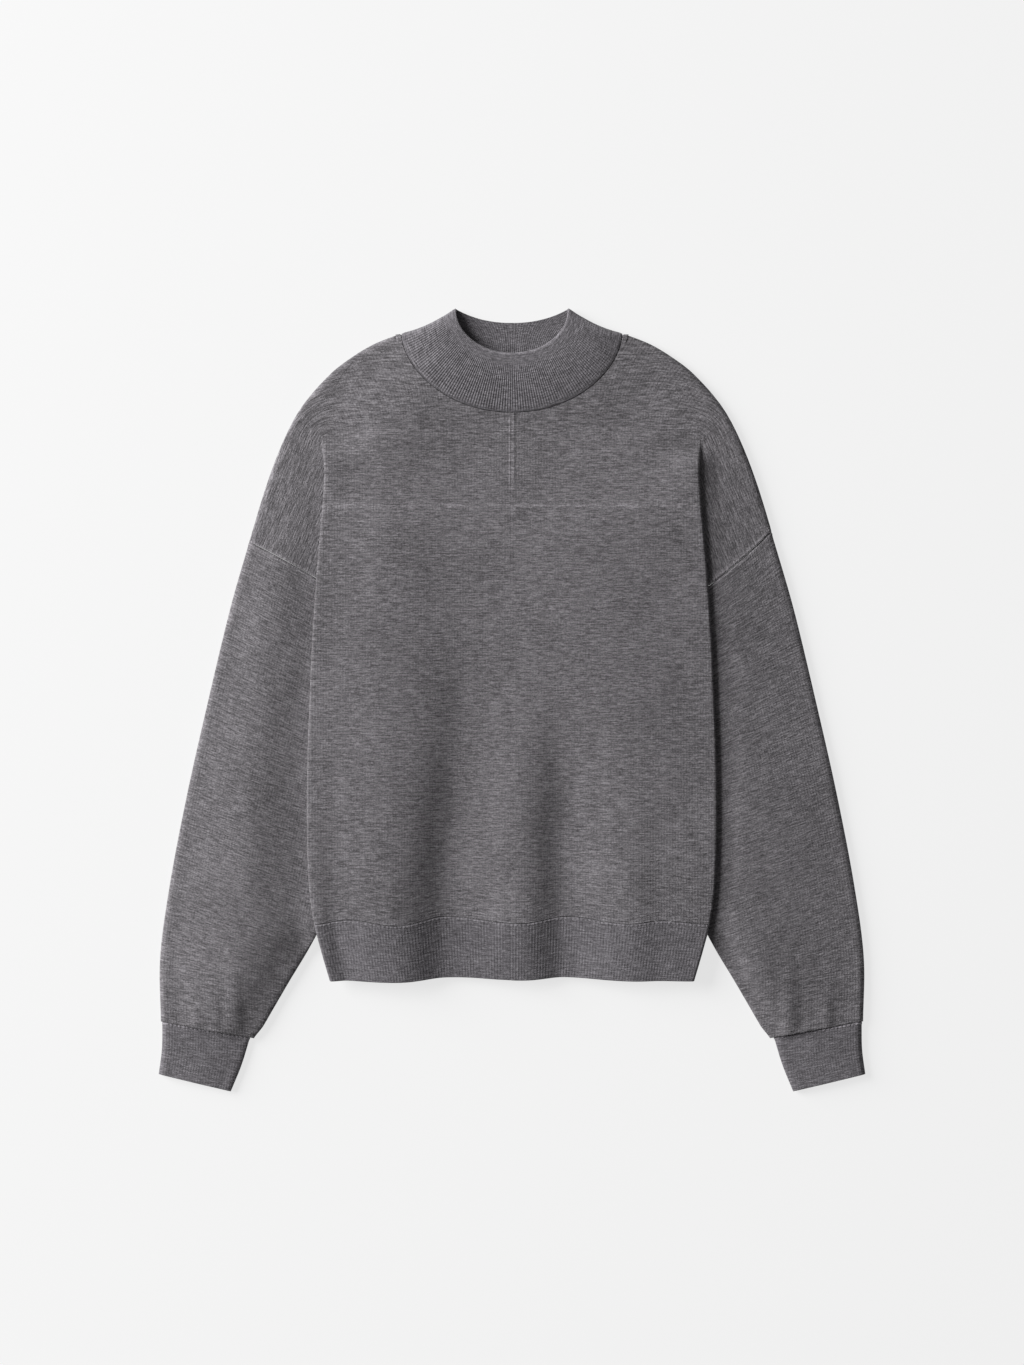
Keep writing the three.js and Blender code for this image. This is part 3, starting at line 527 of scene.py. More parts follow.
def half_row(face, armhole, y, body_steps):
    """Half a panel's row from the middle or the neck hole out: its points and its flat cut."""
    side = armhole["side"]
    below, above = y <= UNDERARM_Y, y > PLEAT_APEX_Y
    start_x = row_start(face, y)
    end_x, end_y = row_end(armhole, y)
    tuck, tuck_z = side_seam_row(face, y) if below else tuck_row(face, y)
    before = smooth(start_x / end_x)

    def slanted(x):
        if not above:
            return np.full_like(x, y)
        return mix(y, end_y, (smooth(x / end_x) - before) / (1 - before))

    pleat = pleat_columns(tuck, start_x, end_x, y)
    near_middle = start_x + np.array(MIDDLE_COLUMNS)
    share = np.arange(1, body_steps) / body_steps
    body = np.concatenate([near_middle, mix(near_middle[-1], pleat[0], share)])
    xs, ys = [body, pleat], [slanted(body), slanted(pleat)]
    zs = [face["body"](side * body, ys[0])]
    zs.append(face["body"](side * pleat, ys[1]) if above else tuck_z)
    if not below:
        share = near_ends(DROP_STEPS, EDGE_STRIP / max(end_x - pleat[-1], 2 * EDGE_STRIP))
        drop = mix(pleat[-1], end_x, share)
        xs.append(drop)
        ys.append(slanted(drop) if above else mix(y, end_y, share))
        zs.append(face["drop"](side * drop, ys[-1]))
    x, row_y, z = (np.concatenate(parts) for parts in (xs, ys, zs))
    return shaped_row(face, side, x, row_y, z, len(body) + ARC_STEPS)


def panel_heights(face):
    """Heights of the rows, crowded at the hem seam, the underarm, the armhole seam's top, the
    ridge across the chest and the neck hole."""
    low = HEM_SEAM_Y + SEAM_GAP / 2
    seam_top = SLEEVE["outer_y"][0]
    rows = [low, low + 0.8, low + 1.6, low + 3]
    rows += list(np.linspace(low + 7, UNDERARM_Y, 50))
    rows += [UNDERARM_Y + 2] + list(np.linspace(UNDERARM_Y + 5, seam_top - 5, 22))
    rows += [seam_top - 3, seam_top - 1.5, seam_top]
    upper = np.linspace(seam_top + 2, PLEAT_APEX_Y, 34)[1:]
    rows += [y for y in upper if y < CHEST_LINE_Y - 5]
    rows += list(np.arange(CHEST_LINE_Y - 4.5, CHEST_LINE_Y + 4.6, 0.9))
    rows += [y for y in upper if y > CHEST_LINE_Y + 5]
    first = neck_y(face, 0) - SEAM_GAP
    rows += list(np.arange(PLEAT_APEX_Y + 4, first - 2, 4))
    rows += [neck_y(face, turn) - SEAM_GAP for turn in (0, *np.linspace(0.085, 0.993, 33))]
    return rows


# The raised line below the neck: half its width, its edges' width and the length of its fade
RAISED_LINE = {"half": 1.9, "edge": 0.6, "run": 34}
# The ridge across the chest: half its width, and the groove below it
CHEST_RIDGE = {"half": 1.9, "groove_at": 3.2, "groove": 0.9}
# How high they are, in millimetres, and how much lighter they are painted as painted highlight, or
# darker as painted shade in the groove
RELIEF = {"edges": 0.28, "between": 0.16, "ridge": 0.1}
RELIEF_HIGHLIGHT_AND_SHADE = {"edges": 0.2, "between": 0.14, "ridge": 0.46, "groove": -0.05}


def bell(distance, width):
    return np.exp(-((distance / width) ** 2))


def front_relief(x, y):
    """The front's raised line below the neck, and the low ridge across it where it ends: how far they
    are raised, and their painted highlight, with painted shade in the groove below the ridge."""
    fade = smooth((y - CHEST_LINE_Y) / RAISED_LINE["run"])
    edges = bell(np.abs(x) - RAISED_LINE["half"], RAISED_LINE["edge"])
    between = np.exp(-((x / RAISED_LINE["half"]) ** 4))
    across = bell(y - CHEST_LINE_Y, CHEST_RIDGE["half"])
    groove = bell(y - CHEST_LINE_Y + CHEST_RIDGE["groove_at"], CHEST_RIDGE["groove"])
    patchy = 0.65 + 0.35 * np.sin(x / 13 + 1.1 * np.sin(x / 37))
    raised = (RELIEF["edges"] * edges + RELIEF["between"] * between) * fade
    # Painted highlight on the raised line and the ridge, and painted shade in the groove below the
    # ridge
    tone = (RELIEF_HIGHLIGHT_AND_SHADE["edges"] * edges + RELIEF_HIGHLIGHT_AND_SHADE["between"] * between) * fade
    tone = tone + (RELIEF_HIGHLIGHT_AND_SHADE["ridge"] * across + RELIEF_HIGHLIGHT_AND_SHADE["groove"] * groove) * patchy
    return raised + RELIEF["ridge"] * across * patchy, tone


def hem_gather(x, y):
    """The small pull of the hem's seam on the cloth above it."""
    pull = np.sin(x / 2.3 + 0.9 * np.sin(x / 11)) * (0.6 + 0.4 * np.sin(x / 19 + 2))
    return 0.12 * pull * np.exp(-np.maximum(y - HEM_SEAM_Y, 0) / 14)


def panel_look(face, armhole, y, points, shown):
    """What a half row's points look like: how far raised, how much lighter or darker painted as
    painted highlights and painted shade, and what their rim keeps.
    Columns up to `shown` lie on top; the rest are in the fold, the tuck and the drop shoulder."""
    order = np.arange(len(points))
    relief, tone = np.zeros(len(points)), np.zeros(len(points))
    if face is FRONT:
        relief, tone = front_relief(points[:, 0], points[:, 1])
        relief = (relief + hem_gather(points[:, 0], points[:, 1])) * (order < shown)
        tone = tone * (order < shown)
        on_fold = (order >= shown - ARC_STEPS) & (order <= shown + TUCK_STEPS)
        # Painted shade along the folded edge and the tuck
        tone = tone + FOLD_PAINTED_SHADE * float(smooth((PLEAT_APEX_Y - y) / FOLD_SHADE_RUN)) * on_fold
    past_fold = order > shown + ARC_STEPS + TUCK_STEPS
    from_seam = seam_distance(armhole, points)
    relief = relief + seam_ridge(from_seam) * past_fold
    # Painted highlight on the armhole seam's ridge and painted shade in its groove
    tone = tone + seam_highlight_and_shade(from_seam) * past_fold
    level = np.ones((len(points), 3))
    if y < HEM_SEAM_Y + SEAM_GAP:
        level[:, 1] = 0
    if not UNDERARM_Y < y < SLEEVE["outer_y"][0]:
        level[-1, 2] = 0
    return relief, tone, level


def make_panel(name, face, body_steps, material):
    sheet = Sheet()
    heights = panel_heights(face)
    halves = {armhole["side"]: [] for armhole in ARMHOLES}
    shown = body_steps + len(MIDDLE_COLUMNS) + ARC_STEPS
    for y in heights:
        joined = y <= face["neck"] - SEAM_GAP + 1e-6
        centre = None
        for armhole in ARMHOLES:
            points, uv = half_row(face, armhole, y, body_steps)
            relief, tone, level = panel_look(face, armhole, y, points, shown)
            if joined and centre is not None:
                ids = sheet.add_row(points[1:], uv[1:], relief[1:], level[1:], tone[1:])
                ids = np.concatenate([[centre], ids])
            else:
                ids = sheet.add_row(points, uv, relief, level, tone)
            centre = ids[0] if joined else None
            halves[armhole["side"]].append(ids)
    under = heights.index(UNDERARM_Y)
    for side, rows in halves.items():
        flip = side * face["up"] < 0
        sheet.join(rows[: under + 1], flip=flip)
        sheet.join([rows[under], rows[under + 1][: len(rows[under])]], flip=flip)
        sheet.join(rows[under + 1:], flip=flip)
    return sheet.build(name, WALL, material)


def seam_distance(armhole, points):
    """How far points lie from the armhole seam, on the drop shoulder's side of it."""
    seam = np.array([armhole_point(armhole, share) for share in np.linspace(0, 1, 60)])
    offsets = points[:, None, :2] * (armhole["side"], 1) - seam[None]
    return np.min(np.hypot(offsets[..., 0], offsets[..., 1]), axis=1)


def seam_ridge(distance):
    """A seam's raised edge and the groove beside it, by the distance from the join."""
    return 0.4 * bell(distance - 2.2, 1.1) - 0.3 * bell(distance, 0.9)


def seam_highlight_and_shade(distance):
    """Painted highlight on the ridge and painted shade in the groove, by the distance from the join.
    """
    return 0.4 * bell(distance - 2.0, 0.9) - 0.5 * bell(distance, 0.8)


# ---------------------------------------------------------------- sleeves and cuffs
def edges_at(table, at):
    outer = np.array([curve(table, "at", "outer_x", at) - HALF, curve(table, "at", "outer_y", at)])
    inner = np.array([curve(table, "at", "inner_x", at) + HALF, curve(table, "at", "inner_y", at)])
    return outer, inner


def tube_shares(count):
    """Shares of a tube's width, crowded at both rounded edges."""
    t = np.linspace(0, 1, count + 1)
    return t - 0.97 * np.sin(2 * math.pi * t) / (2 * math.pi)


# How far the top of a sleeve or cuff rounds down to its edges
SOFT_ROUND = {"outer": 6.0, "inner": 6.0}
# Their thickness falls to a share of itself near those edges, over a wider strip
THINNED = {"outer": 0.8, "inner": 0.45, "width": 34}


def tube_ring(side, place, shares, over_at, under_at, thin):
    """One ring: over the top from the outer edge to the inner one, and back underneath."""
    xy = place(shares)
    width = float(np.hypot(*(xy[-1] - xy[0])))
    outer, inner = round_edge(shares * width, EDGE_ROUND), round_edge((1 - shares) * width, LAYER)
    from_outer, from_inner = shares * width / THINNED["width"], (1 - shares) * width / THINNED["width"]
    soft_outer = round_edge(shares * width, SOFT_ROUND["outer"])
    soft_outer = soft_outer * mix(THINNED["outer"], 1, smooth(from_outer))
    soft_inner = round_edge((1 - shares) * width, SOFT_ROUND["inner"])
    soft_inner = soft_inner * mix(thin, 1, smooth(from_inner))
    x, y = xy[:, 0], xy[:, 1]
    over, under = over_at(x, y), under_at(x, y)
    middle, half = (over + under) / 2, (over - under) / 2
    top = np.stack([side * x, y, middle + np.minimum(soft_outer, soft_inner) * half], axis=1)
    bottom = np.stack([side * x, y, middle - np.minimum(outer, inner) * half], axis=1)[-2:0:-1]
    return np.concatenate([top, bottom]), np.concatenate([shares * width, -shares[-2:0:-1] * width])


# The sleeve's inner corner is drawn in where the cuff gathers it
SLEEVE_END = {"from": 5.75, "pull": 2.2}


def sleeve_place(armhole, at):
    outer, inner = edges_at(SLEEVE, at)
    inner[0] += SLEEVE_END["pull"] * smooth((at - SLEEVE_END["from"]) / (6 - SLEEVE_END["from"]))
    first_outer, first_inner = edges_at(SLEEVE, 0)
    near_seam = 1 - smooth(at / 1.2)

    def place(share):
        share = np.asarray(share, float)
        seam_x, seam_y = armhole_point(armhole, share)
        seam = np.stack([seam_x - HALF * (1 - 2 * share), seam_y], axis=-1)
        plain = outer + (inner - outer) * share[..., None]
        first = first_outer + (first_inner - first_outer) * share[..., None]
        return plain + near_seam * (seam - first)

    return place


def gathers(x, y):
    """Small gathers in the sleeve just above its cuff, uneven in height and length."""
    across = SLEEVE["outer_x"][-1] - x
    along = y - SLEEVE["outer_y"][-1] + across * 0.17
    broad = np.sin(across * 0.21 + 0.8 * np.sin(across * 0.07)) + 0.4 * np.sin(across * 0.37 + 1.3)
    fine = np.sin(across * 0.62 + 0.7 * np.sin(across * 0.13))
    reach = 44 + 16 * np.sin(across * 0.11 + 0.5)
    fade = np.exp(-(np.maximum(along, 0) / reach) ** 2)
    return 0.6 * broad * fade * smooth(along / 4) + 0.12 * fine * fade ** 3


SLEEVE_COLUMNS = 76
# The sleeve's upper end lies in the tuck down to one station, and is clear of it after a run
IN_TUCK = {"to": 3.2, "run": 1.2}


def make_sleeve(armhole, material):
    sheet = Sheet()
    side = armhole["side"]

    def top(x, y):
        return full_z(side * x, y) + gathers(x, y)

    shares = tube_shares(SLEEVE_COLUMNS)
    stations = [0, 0.006, 0.014, 0.024, 0.036, 0.06, *np.linspace(0.1, 5.9, 96), 5.95, 5.98, 6]
    rows = []
    along = 0.0
    previous = None
    for at in stations:
        place = sleeve_place(armhole, at)
        in_tuck = 1 - smooth((at - IN_TUCK["to"]) / IN_TUCK["run"])
        thin = mix(THINNED["inner"], 1, in_tuck)
        ring, across = tube_ring(side, place, shares, top, under_z, thin)
        middle = place(np.array([0.5]))[0]
        along += 0.0 if previous is None else float(np.hypot(*(middle - previous)))
        previous = middle
        uv = np.stack([across, np.full(len(ring), -along)], axis=1)
        from_seam = np.full(len(ring), along)
        # Painted highlight on the seam's ridge and painted shade in its groove
        rows.append(sheet.add_row(ring, uv, seam_ridge(from_seam), tone=seam_highlight_and_shade(from_seam)))
    sheet.join(rows, closed=True, flip=side < 0)
    return sheet.build(f"sleeve_{armhole['worn']}_knit", WALL, material)


def rib(phase, height):
    """A rib's rounded height over a plain ground."""
    return height * (0.5 + 0.5 * np.cos(2 * math.pi * phase)) ** 0.8


STITCH_PITCH = 3.9


def linking(along, from_seam):
    """The linking line's short raised stitches beside a rib's seam: their height and their painted
    highlight.
    """
    stitch = 0.35 + 0.65 * smooth(1.4 * np.cos(2 * math.pi * along / STITCH_PITCH) + 0.9)
    line = stitch * bell(from_seam - 1.4, 0.85)
    return 0.45 * line, 0.9 * line


def rib_fade(at):
    """A band's ribs fade out beside its seam and at its free edge."""
    return smooth((at - 0.03) / 0.04) * smooth((1 - at) / 0.03)


RIB_STEPS = 7
CUFF_LENGTH = 50.0
CUFF_RIBS = 28
CUFF_RELIEF = 0.04
# Share of the cuff's width at each edge that has no ribs
CUFF_PLAIN = 0.04
# Shares of a rib band's length where its rows lie beside the seam
SEAM_LINES = [0, 0.008, 0.016, 0.025, 0.034, 0.044, 0.056, 0.08]


def cuff_shares():
    """Shares of the cuff's width: even over the ribs, crowded at both edges."""
    steps = CUFF_RIBS * RIB_STEPS
    even = np.linspace(0, 1, steps + 1)
    on_ribs = (even > CUFF_PLAIN) & (even < 1 - CUFF_PLAIN)
    return np.sort(np.where(on_ribs, even, tube_shares(steps)))


def cuff_place(at):
    outer, inner = edges_at(CUFF, at)

    def place(share):
        return outer + (inner - outer) * share[..., None]

    return place


def loose_top(x, y):
    return np.full_like(x, LOOSE_TOP_Z)


def make_cuff(armhole, material):
    sheet = Sheet()
    side = armhole["side"]
    shares = cuff_shares()
    rows = []
    heights = SEAM_LINES + list(np.linspace(0.12, 0.94, 12)) + [0.97, 0.985, 1]
    for at in heights:
        ring, across = tube_ring(side, cuff_place(at), shares, loose_top, back_z, THINNED["inner"])
        on_top = np.arange(len(ring)) < len(shares)
        phase = np.concatenate([shares, -shares[-2:0:-1]]) * CUFF_RIBS
        line, stitch_highlight = linking(across, CUFF_LENGTH * at)
        uv = np.stack([across, np.full(len(ring), -CUFF_LENGTH * at)], axis=1)
        raised = (rib(phase, CUFF_RELIEF) * rib_fade(at) + line) * on_top
        # The linking stitches' painted highlight
        rows.append(sheet.add_row(ring, uv, raised, tone=stitch_highlight * on_top))
    sheet.join(rows, closed=True, flip=side < 0)
    return sheet.build(f"cuff_{armhole['worn']}_rib", WALL, material)


# ---------------------------------------------------------------- hem band
def hem_half(face, side, y, top_x):
    x, z = side_seam_row(face, y)
    flat_x = top_x * x[0]
    flat_z = face["body"](side * flat_x, np.full_like(flat_x, y))
    x = np.concatenate([flat_x, x])
    z = np.concatenate([flat_z, z])
    return np.stack([side * x, lean_y(face, side * x, np.full_like(x, y), z), z], axis=1)


def ring_length(points):
    steps = np.linalg.norm(np.diff(points[:, [0, 2]], axis=0), axis=1)
    return np.concatenate([[0], np.cumsum(steps)])


HEM_RIBS = 61
HEM_RELIEF = 0.13
HEM_TONE = -0.1
# Weight of the painted highlight on the hem's linking stitches
HEM_STITCH_HIGHLIGHT = 0.5


def make_hem(material):
    sheet = Sheet()
    steps = HEM_RIBS * RIB_STEPS
    top_x = np.arange(steps) / steps
    heights = SEAM_LINES + list(np.linspace(0.12, 0.93, 11)) + [0.965, 0.985, 1]
    rows = []
    for at in heights:
        y = mix(HEM_SEAM_Y - SEAM_GAP / 2, HEM_Y, at)
        halves = []
        for side in (1, -1):
            front = hem_half(FRONT, side, y, top_x)
            back = hem_half(BACK, side, y, top_x)
            seam = (front[-1:] + back[-1:]) / 2
            halves.append(np.concatenate([front[:-1], seam, back[-2::-1]]))
        on_top = np.arange(len(halves[0])) < len(top_x)
        along = ring_length(halves[0])
        line, stitch_highlight = linking(along, (HEM_SEAM_Y - HEM_Y) * at)
        phase = np.concatenate([top_x, np.zeros(len(halves[0]) - len(top_x))]) * HEM_RIBS
        raised = (rib(phase, HEM_RELIEF) * rib_fade(at) + line) * on_top
        # The whole band is a little darker, with a painted highlight on the linking stitches
        tone = HEM_TONE + HEM_STITCH_HIGHLIGHT * stitch_highlight * on_top
        ring = np.concatenate([halves[0], halves[1][-2:0:-1]])
        across = np.concatenate([along, -ring_length(halves[1])[-2:0:-1]])
        uv = np.stack([across, np.full(len(ring), (HEM_Y - HEM_SEAM_Y) * at)], axis=1)
        raised, tone = (np.concatenate([half, half[-2:0:-1]]) for half in (raised, tone))
        rows.append(sheet.add_row(ring, uv, raised, (1, 0, 1), tone))
    sheet.join(rows, closed=True, flip=True)
    return sheet.build("hem_rib", WALL, material)


# ---------------------------------------------------------------- collar
COLLAR_SAG = 3.4
COLLAR_CROWN = 1.2
COLLAR_TOP_ROUND = 24.0
COLLAR_LENGTH = 54.0
COLLAR_RIBS = {"front": 53, "back": 46}
COLLAR_RELIEF = {"outside": 0.38, "inside": 0.28}
# Shares of the height where the outside's ribs end and the plain band at the top starts
COLLAR_RIBS_END = {"at": 0.72, "run": 0.14}
COLLAR_BAND = {"at": 0.76, "run": 0.1, "height": 0.14}
COLLAR_EDGE = {"at": 0.96, "run": 0.04, "rounded": 0.45}
RIB_PITCH = 2.5


def even_turns(face, ribs):
    """Quarter turns at which points of the neck seam are evenly spaced, from its middle out."""
    fine = np.linspace(0, 1, 400)
    y = neck_y(face, fine)
    steps = np.hypot(np.diff(neck_x(face, y)), np.diff(y))
    length = np.concatenate([[0], np.cumsum(steps)])
    return np.interp(np.linspace(0, length[-1], ribs * RIB_STEPS + 1), length, fine)


def collar_place(face, turn, rise):
    """Where a point of the collar lies from above, and where the seam below it lies."""
    base_y = neck_y(face, turn)
    base_x = neck_x(face, base_y) - SEAM_GAP / 2
    angle = turn * math.pi / 2
    top_x = (COLLAR_TOP["tip_x"] - RIB_WALL / 2) * np.sin(angle)
    if face is FRONT:
        top_y = mix(COLLAR_TOP["tip_y"], COLLAR_TOP["front_y"], np.cos(angle))
    else:
        top_y = mix(COLLAR_TOP["tip_y"], COLLAR_TOP["back_y"], 1 - np.sin(angle) ** 2.2)
    sag = COLLAR_SAG * 4 * rise * (1 - rise) * turn ** 3
    return mix(base_x, top_x, rise), mix(base_y, top_y, rise) - sag, base_x, base_y


def collar_point(face, side, turn, rise):
    x, y, base_x, base_y = collar_place(face, turn, rise)
    edge_x, edge_y, _, _ = collar_place(face, 1.0, rise)
    along = np.array([NECK_TIP[0] - COLLAR_TOP["tip_x"], COLLAR_TOP["tip_y"] - NECK_TIP[1]])
    along = along / np.hypot(*along)
    inset = (edge_x - x) * along[1] + (edge_y - y) * along[0]
    top_z = COLLAR_TOP["front_z"] if face is FRONT else BACK_Z
    crown = COLLAR_CROWN * math.sin(math.pi * rise) if face is FRONT else 0.0
    z = mix(face["body"](side * base_x, base_y), top_z, rise) + 0.1 + crown
    height = mix(EDGE_Z + rise, z, round_edge(inset, mix(EDGE_ROUND, COLLAR_TOP_ROUND, rise ** 2)))
    return np.stack([side * x, y, height], axis=1)


def collar_relief(around, rise, outside):
    """How far a row of the collar is raised outside and inside, and how much lighter or darker it is
    painted: painted shade in the seam's groove and the rib furrows, painted highlight on the rib
    crests and along the top edge.
    """
    fading = smooth((rise - COLLAR_RIBS_END["at"]) / COLLAR_RIBS_END["run"])
    ribbed = smooth((rise - 0.02) / 0.05) * (1 - fading)
    band = COLLAR_BAND["height"] * smooth((rise - COLLAR_BAND["at"]) / COLLAR_BAND["run"])
    to_edge = smooth((rise - COLLAR_EDGE["at"]) / COLLAR_EDGE["run"])
    band = band - COLLAR_EDGE["rounded"] * to_edge ** 2
    groove = math.exp(-((rise / 0.02) ** 2))
    ribs = rib(around, COLLAR_RELIEF["outside"])
    raised = (ribs * ribbed + band - 0.3 * groove) * outside
    # Painted highlight along the top edge and painted shade in the seam's groove, then painted
    # highlight on the rib crests and painted shade in their furrows
    tone = (0.3 * smooth((rise - 0.955) / 0.02) - 0.4 * groove) * outside
    tone = tone + 0.1 * (rib(around, 1) - 0.5) * ribbed * outside
    return raised, rib(around, COLLAR_RELIEF["inside"]) * ~outside, tone


def make_collar(material):
    sheet = Sheet()
    front_turn = even_turns(FRONT, COLLAR_RIBS["front"])
    back_turn = even_turns(BACK, COLLAR_RIBS["back"])
    quarter = np.arange(len(front_turn) + len(back_turn) - 1) / RIB_STEPS
    around = np.concatenate([quarter, 2 * quarter[-1] - quarter[-2:0:-1]])
    outside = np.abs(around - quarter[-1]) >= COLLAR_RIBS["back"]
    heights = [0, 0.012, 0.028, 0.05, *np.linspace(0.09, 0.69, 13), *np.linspace(0.72, 0.9, 10)]
    heights += [0.925, 0.945, 0.96, 0.972, 0.982, 0.991, 1]
    rows = []
    for rise in heights:
        halves = []
        for side in (1, -1):
            front = collar_point(FRONT, side, front_turn, rise)
            back = collar_point(BACK, side, back_turn, rise)
            halves.append(np.concatenate([front, back[-2::-1]]))
        ring = np.concatenate([halves[0], halves[1][-2:0:-1]])
        uv = np.stack([around * RIB_PITCH, np.full(len(ring), COLLAR_LENGTH * rise)], axis=1)
        raised, lining, tone = collar_relief(around, rise, outside)
        rows.append(sheet.add_row(ring, uv, raised, tone=tone, lining=lining))
    sheet.join(rows, closed=True)
    return sheet.build("collar_rib", RIB_WALL, material)


# ---------------------------------------------------------------- materials, from here in metres
COURSE = 0.0022
JERSEY = {"dark": (0.067, 0.063, 0.067), "mid": (0.146, 0.138, 0.147), "light": (0.270, 0.256, 0.272)}
RIB = {"dark": (0.074, 0.069, 0.075), "mid": (0.142, 0.134, 0.145), "light": (0.244, 0.231, 0.249)}


class Nodes:
    """Short calls for building a material's node tree."""

    def __init__(self, material):
        self.tree = material.node_tree
        self.shader = self.tree.nodes["Principled BSDF"]

    def add(self, kind, inputs=None, **settings):
        node = self.tree.nodes.new(kind)
        for key, value in settings.items():
            setattr(node, key, value)
        for key, value in (inputs or {}).items():
            if isinstance(value, bpy.types.NodeSocket):
                self.tree.links.new(value, node.inputs[key])
            else:
                node.inputs[key].default_value = value
        return node

    def stretched(self, source, scale):
        """A coordinate scaled by its own amount on each axis."""
        node = self.add("ShaderNodeVectorMath", {0: source, 1: scale}, operation="MULTIPLY")
        return node.outputs[0]

    def noise(self, source, scale, detail, seed):
        moved = self.add("ShaderNodeVectorMath", {0: source, 1: (seed, seed * 1.7, seed * 0.6)})
        settings = {"Vector": moved.outputs[0], "Scale": scale, "Detail": detail, "Roughness": 0.6}
        return self.add("ShaderNodeTexNoise", settings).outputs["Fac"]

    def math(self, operation, a, b):
        return self.add("ShaderNodeMath", {0: a, 1: b}, operation=operation).outputs[0]

    def weigh(self, parts, start=0.0):
        """A weighted sum of values."""
        total = start
        for value, weight in parts:
            total = self.math("ADD", self.math("MULTIPLY", value, weight), total)
        return total

    def blend(self, noises):
        """Noises added about their middle value, each with its own weight."""
        middle = 0.5 * sum(weight for _, weight in noises)
        return self.weigh(noises, 0.5 - middle)

    def ramp(self, source, stops):
        node = self.add("ShaderNodeValToRGB", {"Fac": source})
        elements = node.color_ramp.elements
        while len(elements) < len(stops):
            elements.new(0.5)
        for element, (place, colour) in zip(elements, stops):
            element.position = place
            element.color = (*colour, 1)
        return node.outputs["Color"]


WOOL_SHADER = {
    "Roughness": 0.95,
    "Specular IOR Level": 0.18,
    "Sheen Weight": 0.12,
    "Sheen Roughness": 0.6,
}


def mottled(nodes, knit, place, streak, fleck):
    """Long and short streaks along the courses, a broad drift and fine flecks."""
    long_scale = (1 / streak[0], 1 / streak[1], 1)
    short_scale = (2.6 / streak[0], 1.5 / streak[1], 1)
    return nodes.blend([
        (nodes.noise(nodes.stretched(knit, long_scale), 1.0, 2.0, 4.7), 0.62),
        (nodes.noise(nodes.stretched(knit, short_scale), 1.0, 1.0, 8.3), 0.5),
        (nodes.noise(place, 14.0, 3.0, 1.3), 0.14),
        (nodes.noise(place, 780.0, 1.0, 5.0), fleck),
    ])


def lofty(nodes, knit, place, mottle, wale, loft):
    """The normal of rows of loops under a little fuzz."""
    loops = nodes.add("ShaderNodeSeparateXYZ", {0: knit})
    wales = nodes.math("SINE", nodes.math("MULTIPLY", loops.outputs["X"], 2 * math.pi / wale), 0.0)
    courses = nodes.math("SINE", nodes.math("MULTIPLY", loops.outputs["Y"], 2 * math.pi / COURSE), 0.0)
    fuzz = nodes.noise(place, 1500.0, 2.0, 2.0)
    height = nodes.weigh([(wales, 0.15), (courses, 0.1), (mottle, 2.2), (fuzz, 0.9)])
    bump = nodes.add("ShaderNodeBump", {"Height": height, "Distance": loft, "Strength": 0.75})
    return bump.outputs["Normal"]


def wool(name, tones, streak, fleck, wale, loft):
    """Soft mottled wool, painted lighter or darker where the mesh's tone says so, which carries
    painted highlights and painted shade.
    """
    material = bpy.data.materials.new(name)
    material.use_nodes = True
    nodes = Nodes(material)
    knit = nodes.add("ShaderNodeUVMap", uv_map="knit").outputs["UV"]
    place = nodes.add("ShaderNodeTexCoord").outputs["Object"]
    mottle = mottled(nodes, knit, place, streak, fleck)
    colour = nodes.ramp(mottle, [(0.33, tones["dark"]), (0.5, tones["mid"]), (0.67, tones["light"])])
    # The mesh's tone: painted highlights and painted shade on seams, ridges, folds and ribs, and the
    # hem's darker band
    tone = nodes.add("ShaderNodeAttribute", attribute_name="tone").outputs["Fac"]
    colour = nodes.stretched(colour, nodes.math("ADD", tone, 1.0))
    nodes.tree.links.new(colour, nodes.shader.inputs["Base Color"])
    normal = lofty(nodes, knit, place, mottle, wale, loft)
    nodes.tree.links.new(normal, nodes.shader.inputs["Normal"])
    for socket, value in WOOL_SHADER.items():
        nodes.shader.inputs[socket].default_value = value
    return material


# Streak length and width, weight of the flecks, a wale's width and the loft, in metres
jersey = wool("jersey", JERSEY, (0.013, 0.0012), 0.42, 0.0026, 0.00035)
rib_wool = wool("rib", RIB, (0.010, 0.0013), 0.24, 0.0025, 0.0003)


# ---------------------------------------------------------------- pieces
BODY_STEPS = 74

front = make_panel("front_knit", FRONT, BODY_STEPS, jersey)
back = make_panel("back_knit", BACK, BODY_STEPS, jersey)
sleeves = [make_sleeve(armhole, jersey) for armhole in ARMHOLES]
cuffs = [make_cuff(armhole, rib_wool) for armhole in ARMHOLES]
hem = make_hem(rib_wool)
collar = make_collar(rib_wool)

# Each piece, the solid it stands for, its finish, its cut laid flat as width and length and as an
# area, and what it lies on
CUTS = [
    (front, "front", "jersey", (0.712, 0.556), 0.274, ["back"]),
    (back, "back", "jersey", (0.712, 0.556), 0.278, ["floor"]),
    (sleeves[0], "sleeve_right", "jersey", (0.372, 0.47), 0.133, ["floor"]),
    (sleeves[1], "sleeve_left", "jersey", (0.372, 0.47), 0.133, ["floor"]),
    (cuffs[0], "cuff_right", "rib", (0.167, 0.051), 0.0078, ["floor"]),
    (cuffs[1], "cuff_left", "rib", (0.167, 0.051), 0.0078, ["floor"]),
    (hem, "hem_band", "rib", (0.85, 0.055), 0.044, ["floor"]),
    (collar, "collar", "rib", (0.52, 0.056), 0.022, ["floor"]),
]


# ---------------------------------------------------------------- floor, light and camera
FLOOR = {"reach": 6.0, "grey": 0.19, "glow": 0.732}
SOFTBOX = {"size": 3.9, "energy": 815, "place": (-5.2, 2.05, 2.3)}
FILL = 0.12
CAMERA = {"lens": 84.6, "place": (0, 0.01636, 3.0)}


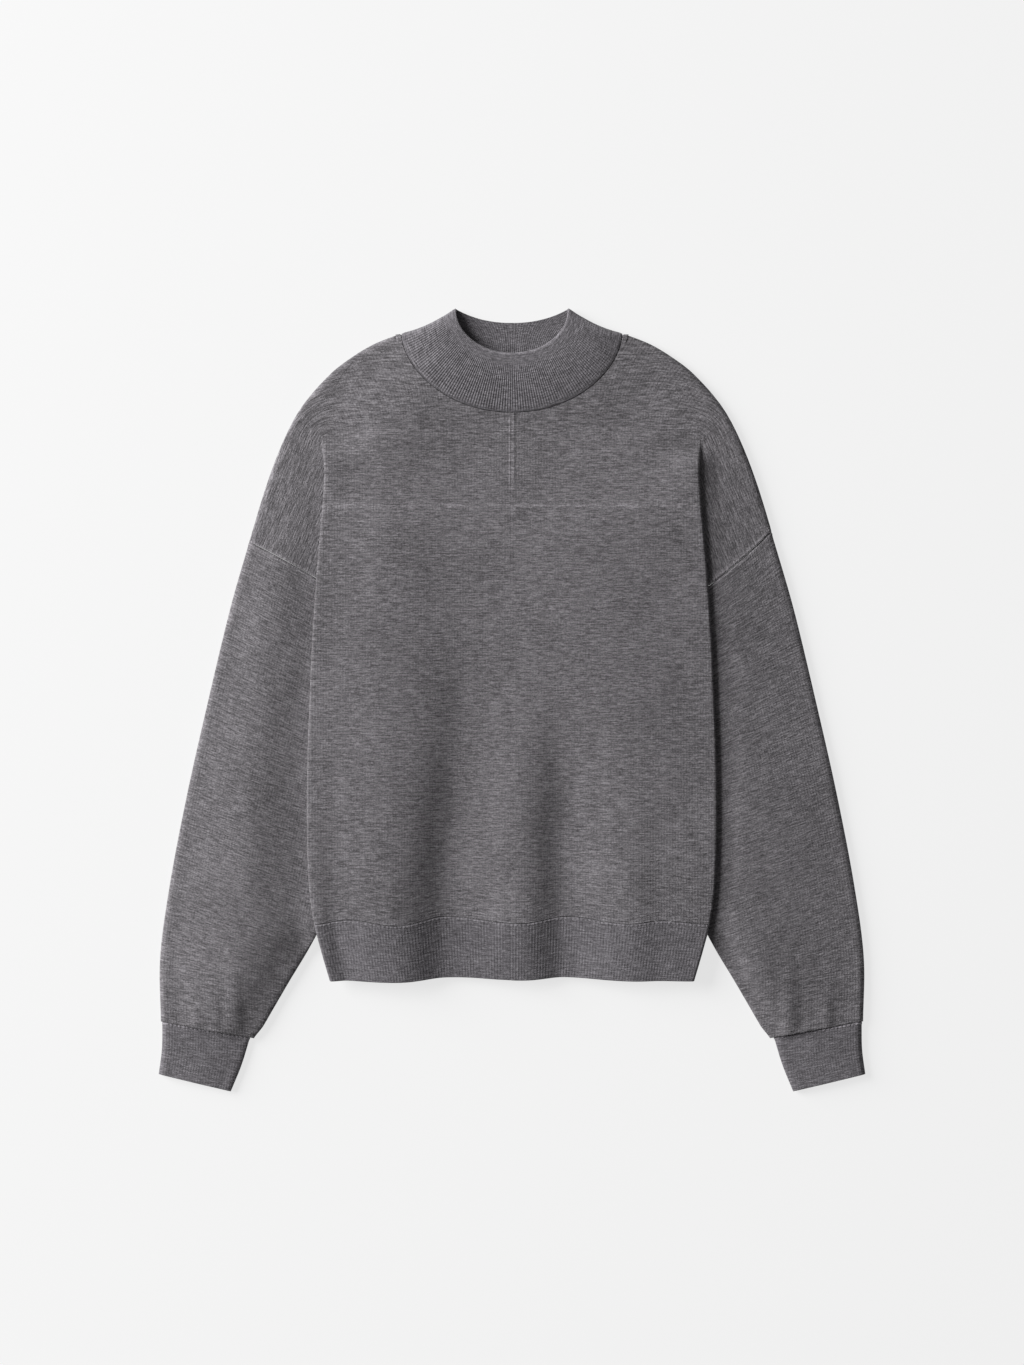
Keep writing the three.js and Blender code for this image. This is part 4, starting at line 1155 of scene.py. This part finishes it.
def make_floor():
    """Matt white paper that glows a little, so it stays even under the low light."""
    mesh = bpy.data.meshes.new("floor")
    reach, grey = FLOOR["reach"], FLOOR["grey"]
    corners = [(-reach, -reach, 0), (reach, -reach, 0), (reach, reach, 0), (-reach, reach, 0)]
    mesh.from_pydata(corners, [], [(0, 1, 2, 3)])
    floor = bpy.data.objects.new("floor", mesh)
    bpy.context.scene.collection.objects.link(floor)
    material = bpy.data.materials.new("paper")
    material.use_nodes = True
    shader = material.node_tree.nodes["Principled BSDF"]
    shader.inputs["Base Color"].default_value = (grey, grey, grey, 1)
    shader.inputs["Roughness"].default_value = 0.9
    shader.inputs["Specular IOR Level"].default_value = 0.0
    shader.inputs["Emission Color"].default_value = (1, 1, 1, 1)
    shader.inputs["Emission Strength"].default_value = FLOOR["glow"]
    mesh.materials.append(material)


def make_lights():
    """One large low softbox on the wearer's right, towards the neck's end, and a plain fill."""
    panel = bpy.data.lights.new("softbox", "AREA")
    panel.shape = "SQUARE"
    panel.size = SOFTBOX["size"]
    panel.energy = SOFTBOX["energy"]
    lamp = bpy.data.objects.new("softbox", panel)
    place = Vector(SOFTBOX["place"])
    lamp.location = place
    lamp.rotation_euler = (-place).to_track_quat("-Z", "Y").to_euler()
    bpy.context.scene.collection.objects.link(lamp)
    world = bpy.data.worlds.new("studio")
    world.use_nodes = True
    background = world.node_tree.nodes["Background"]
    background.inputs["Color"].default_value = (1, 1, 1, 1)
    background.inputs["Strength"].default_value = FILL
    bpy.context.scene.world = world


def make_camera():
    camera = bpy.data.cameras.new("camera")
    camera.sensor_fit = "VERTICAL"
    camera.sensor_height = 36
    camera.lens = CAMERA["lens"]
    camera.clip_end = 20
    stand = bpy.data.objects.new("camera", camera)
    stand.location = CAMERA["place"]
    bpy.context.scene.collection.objects.link(stand)
    bpy.context.scene.camera = stand


make_floor()
make_lights()
make_camera()
bpy.context.scene.view_settings.view_transform = "Standard"

for piece, node, slot, flat, area, rests_on in CUTS:
    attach(piece, "root")
    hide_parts(node)
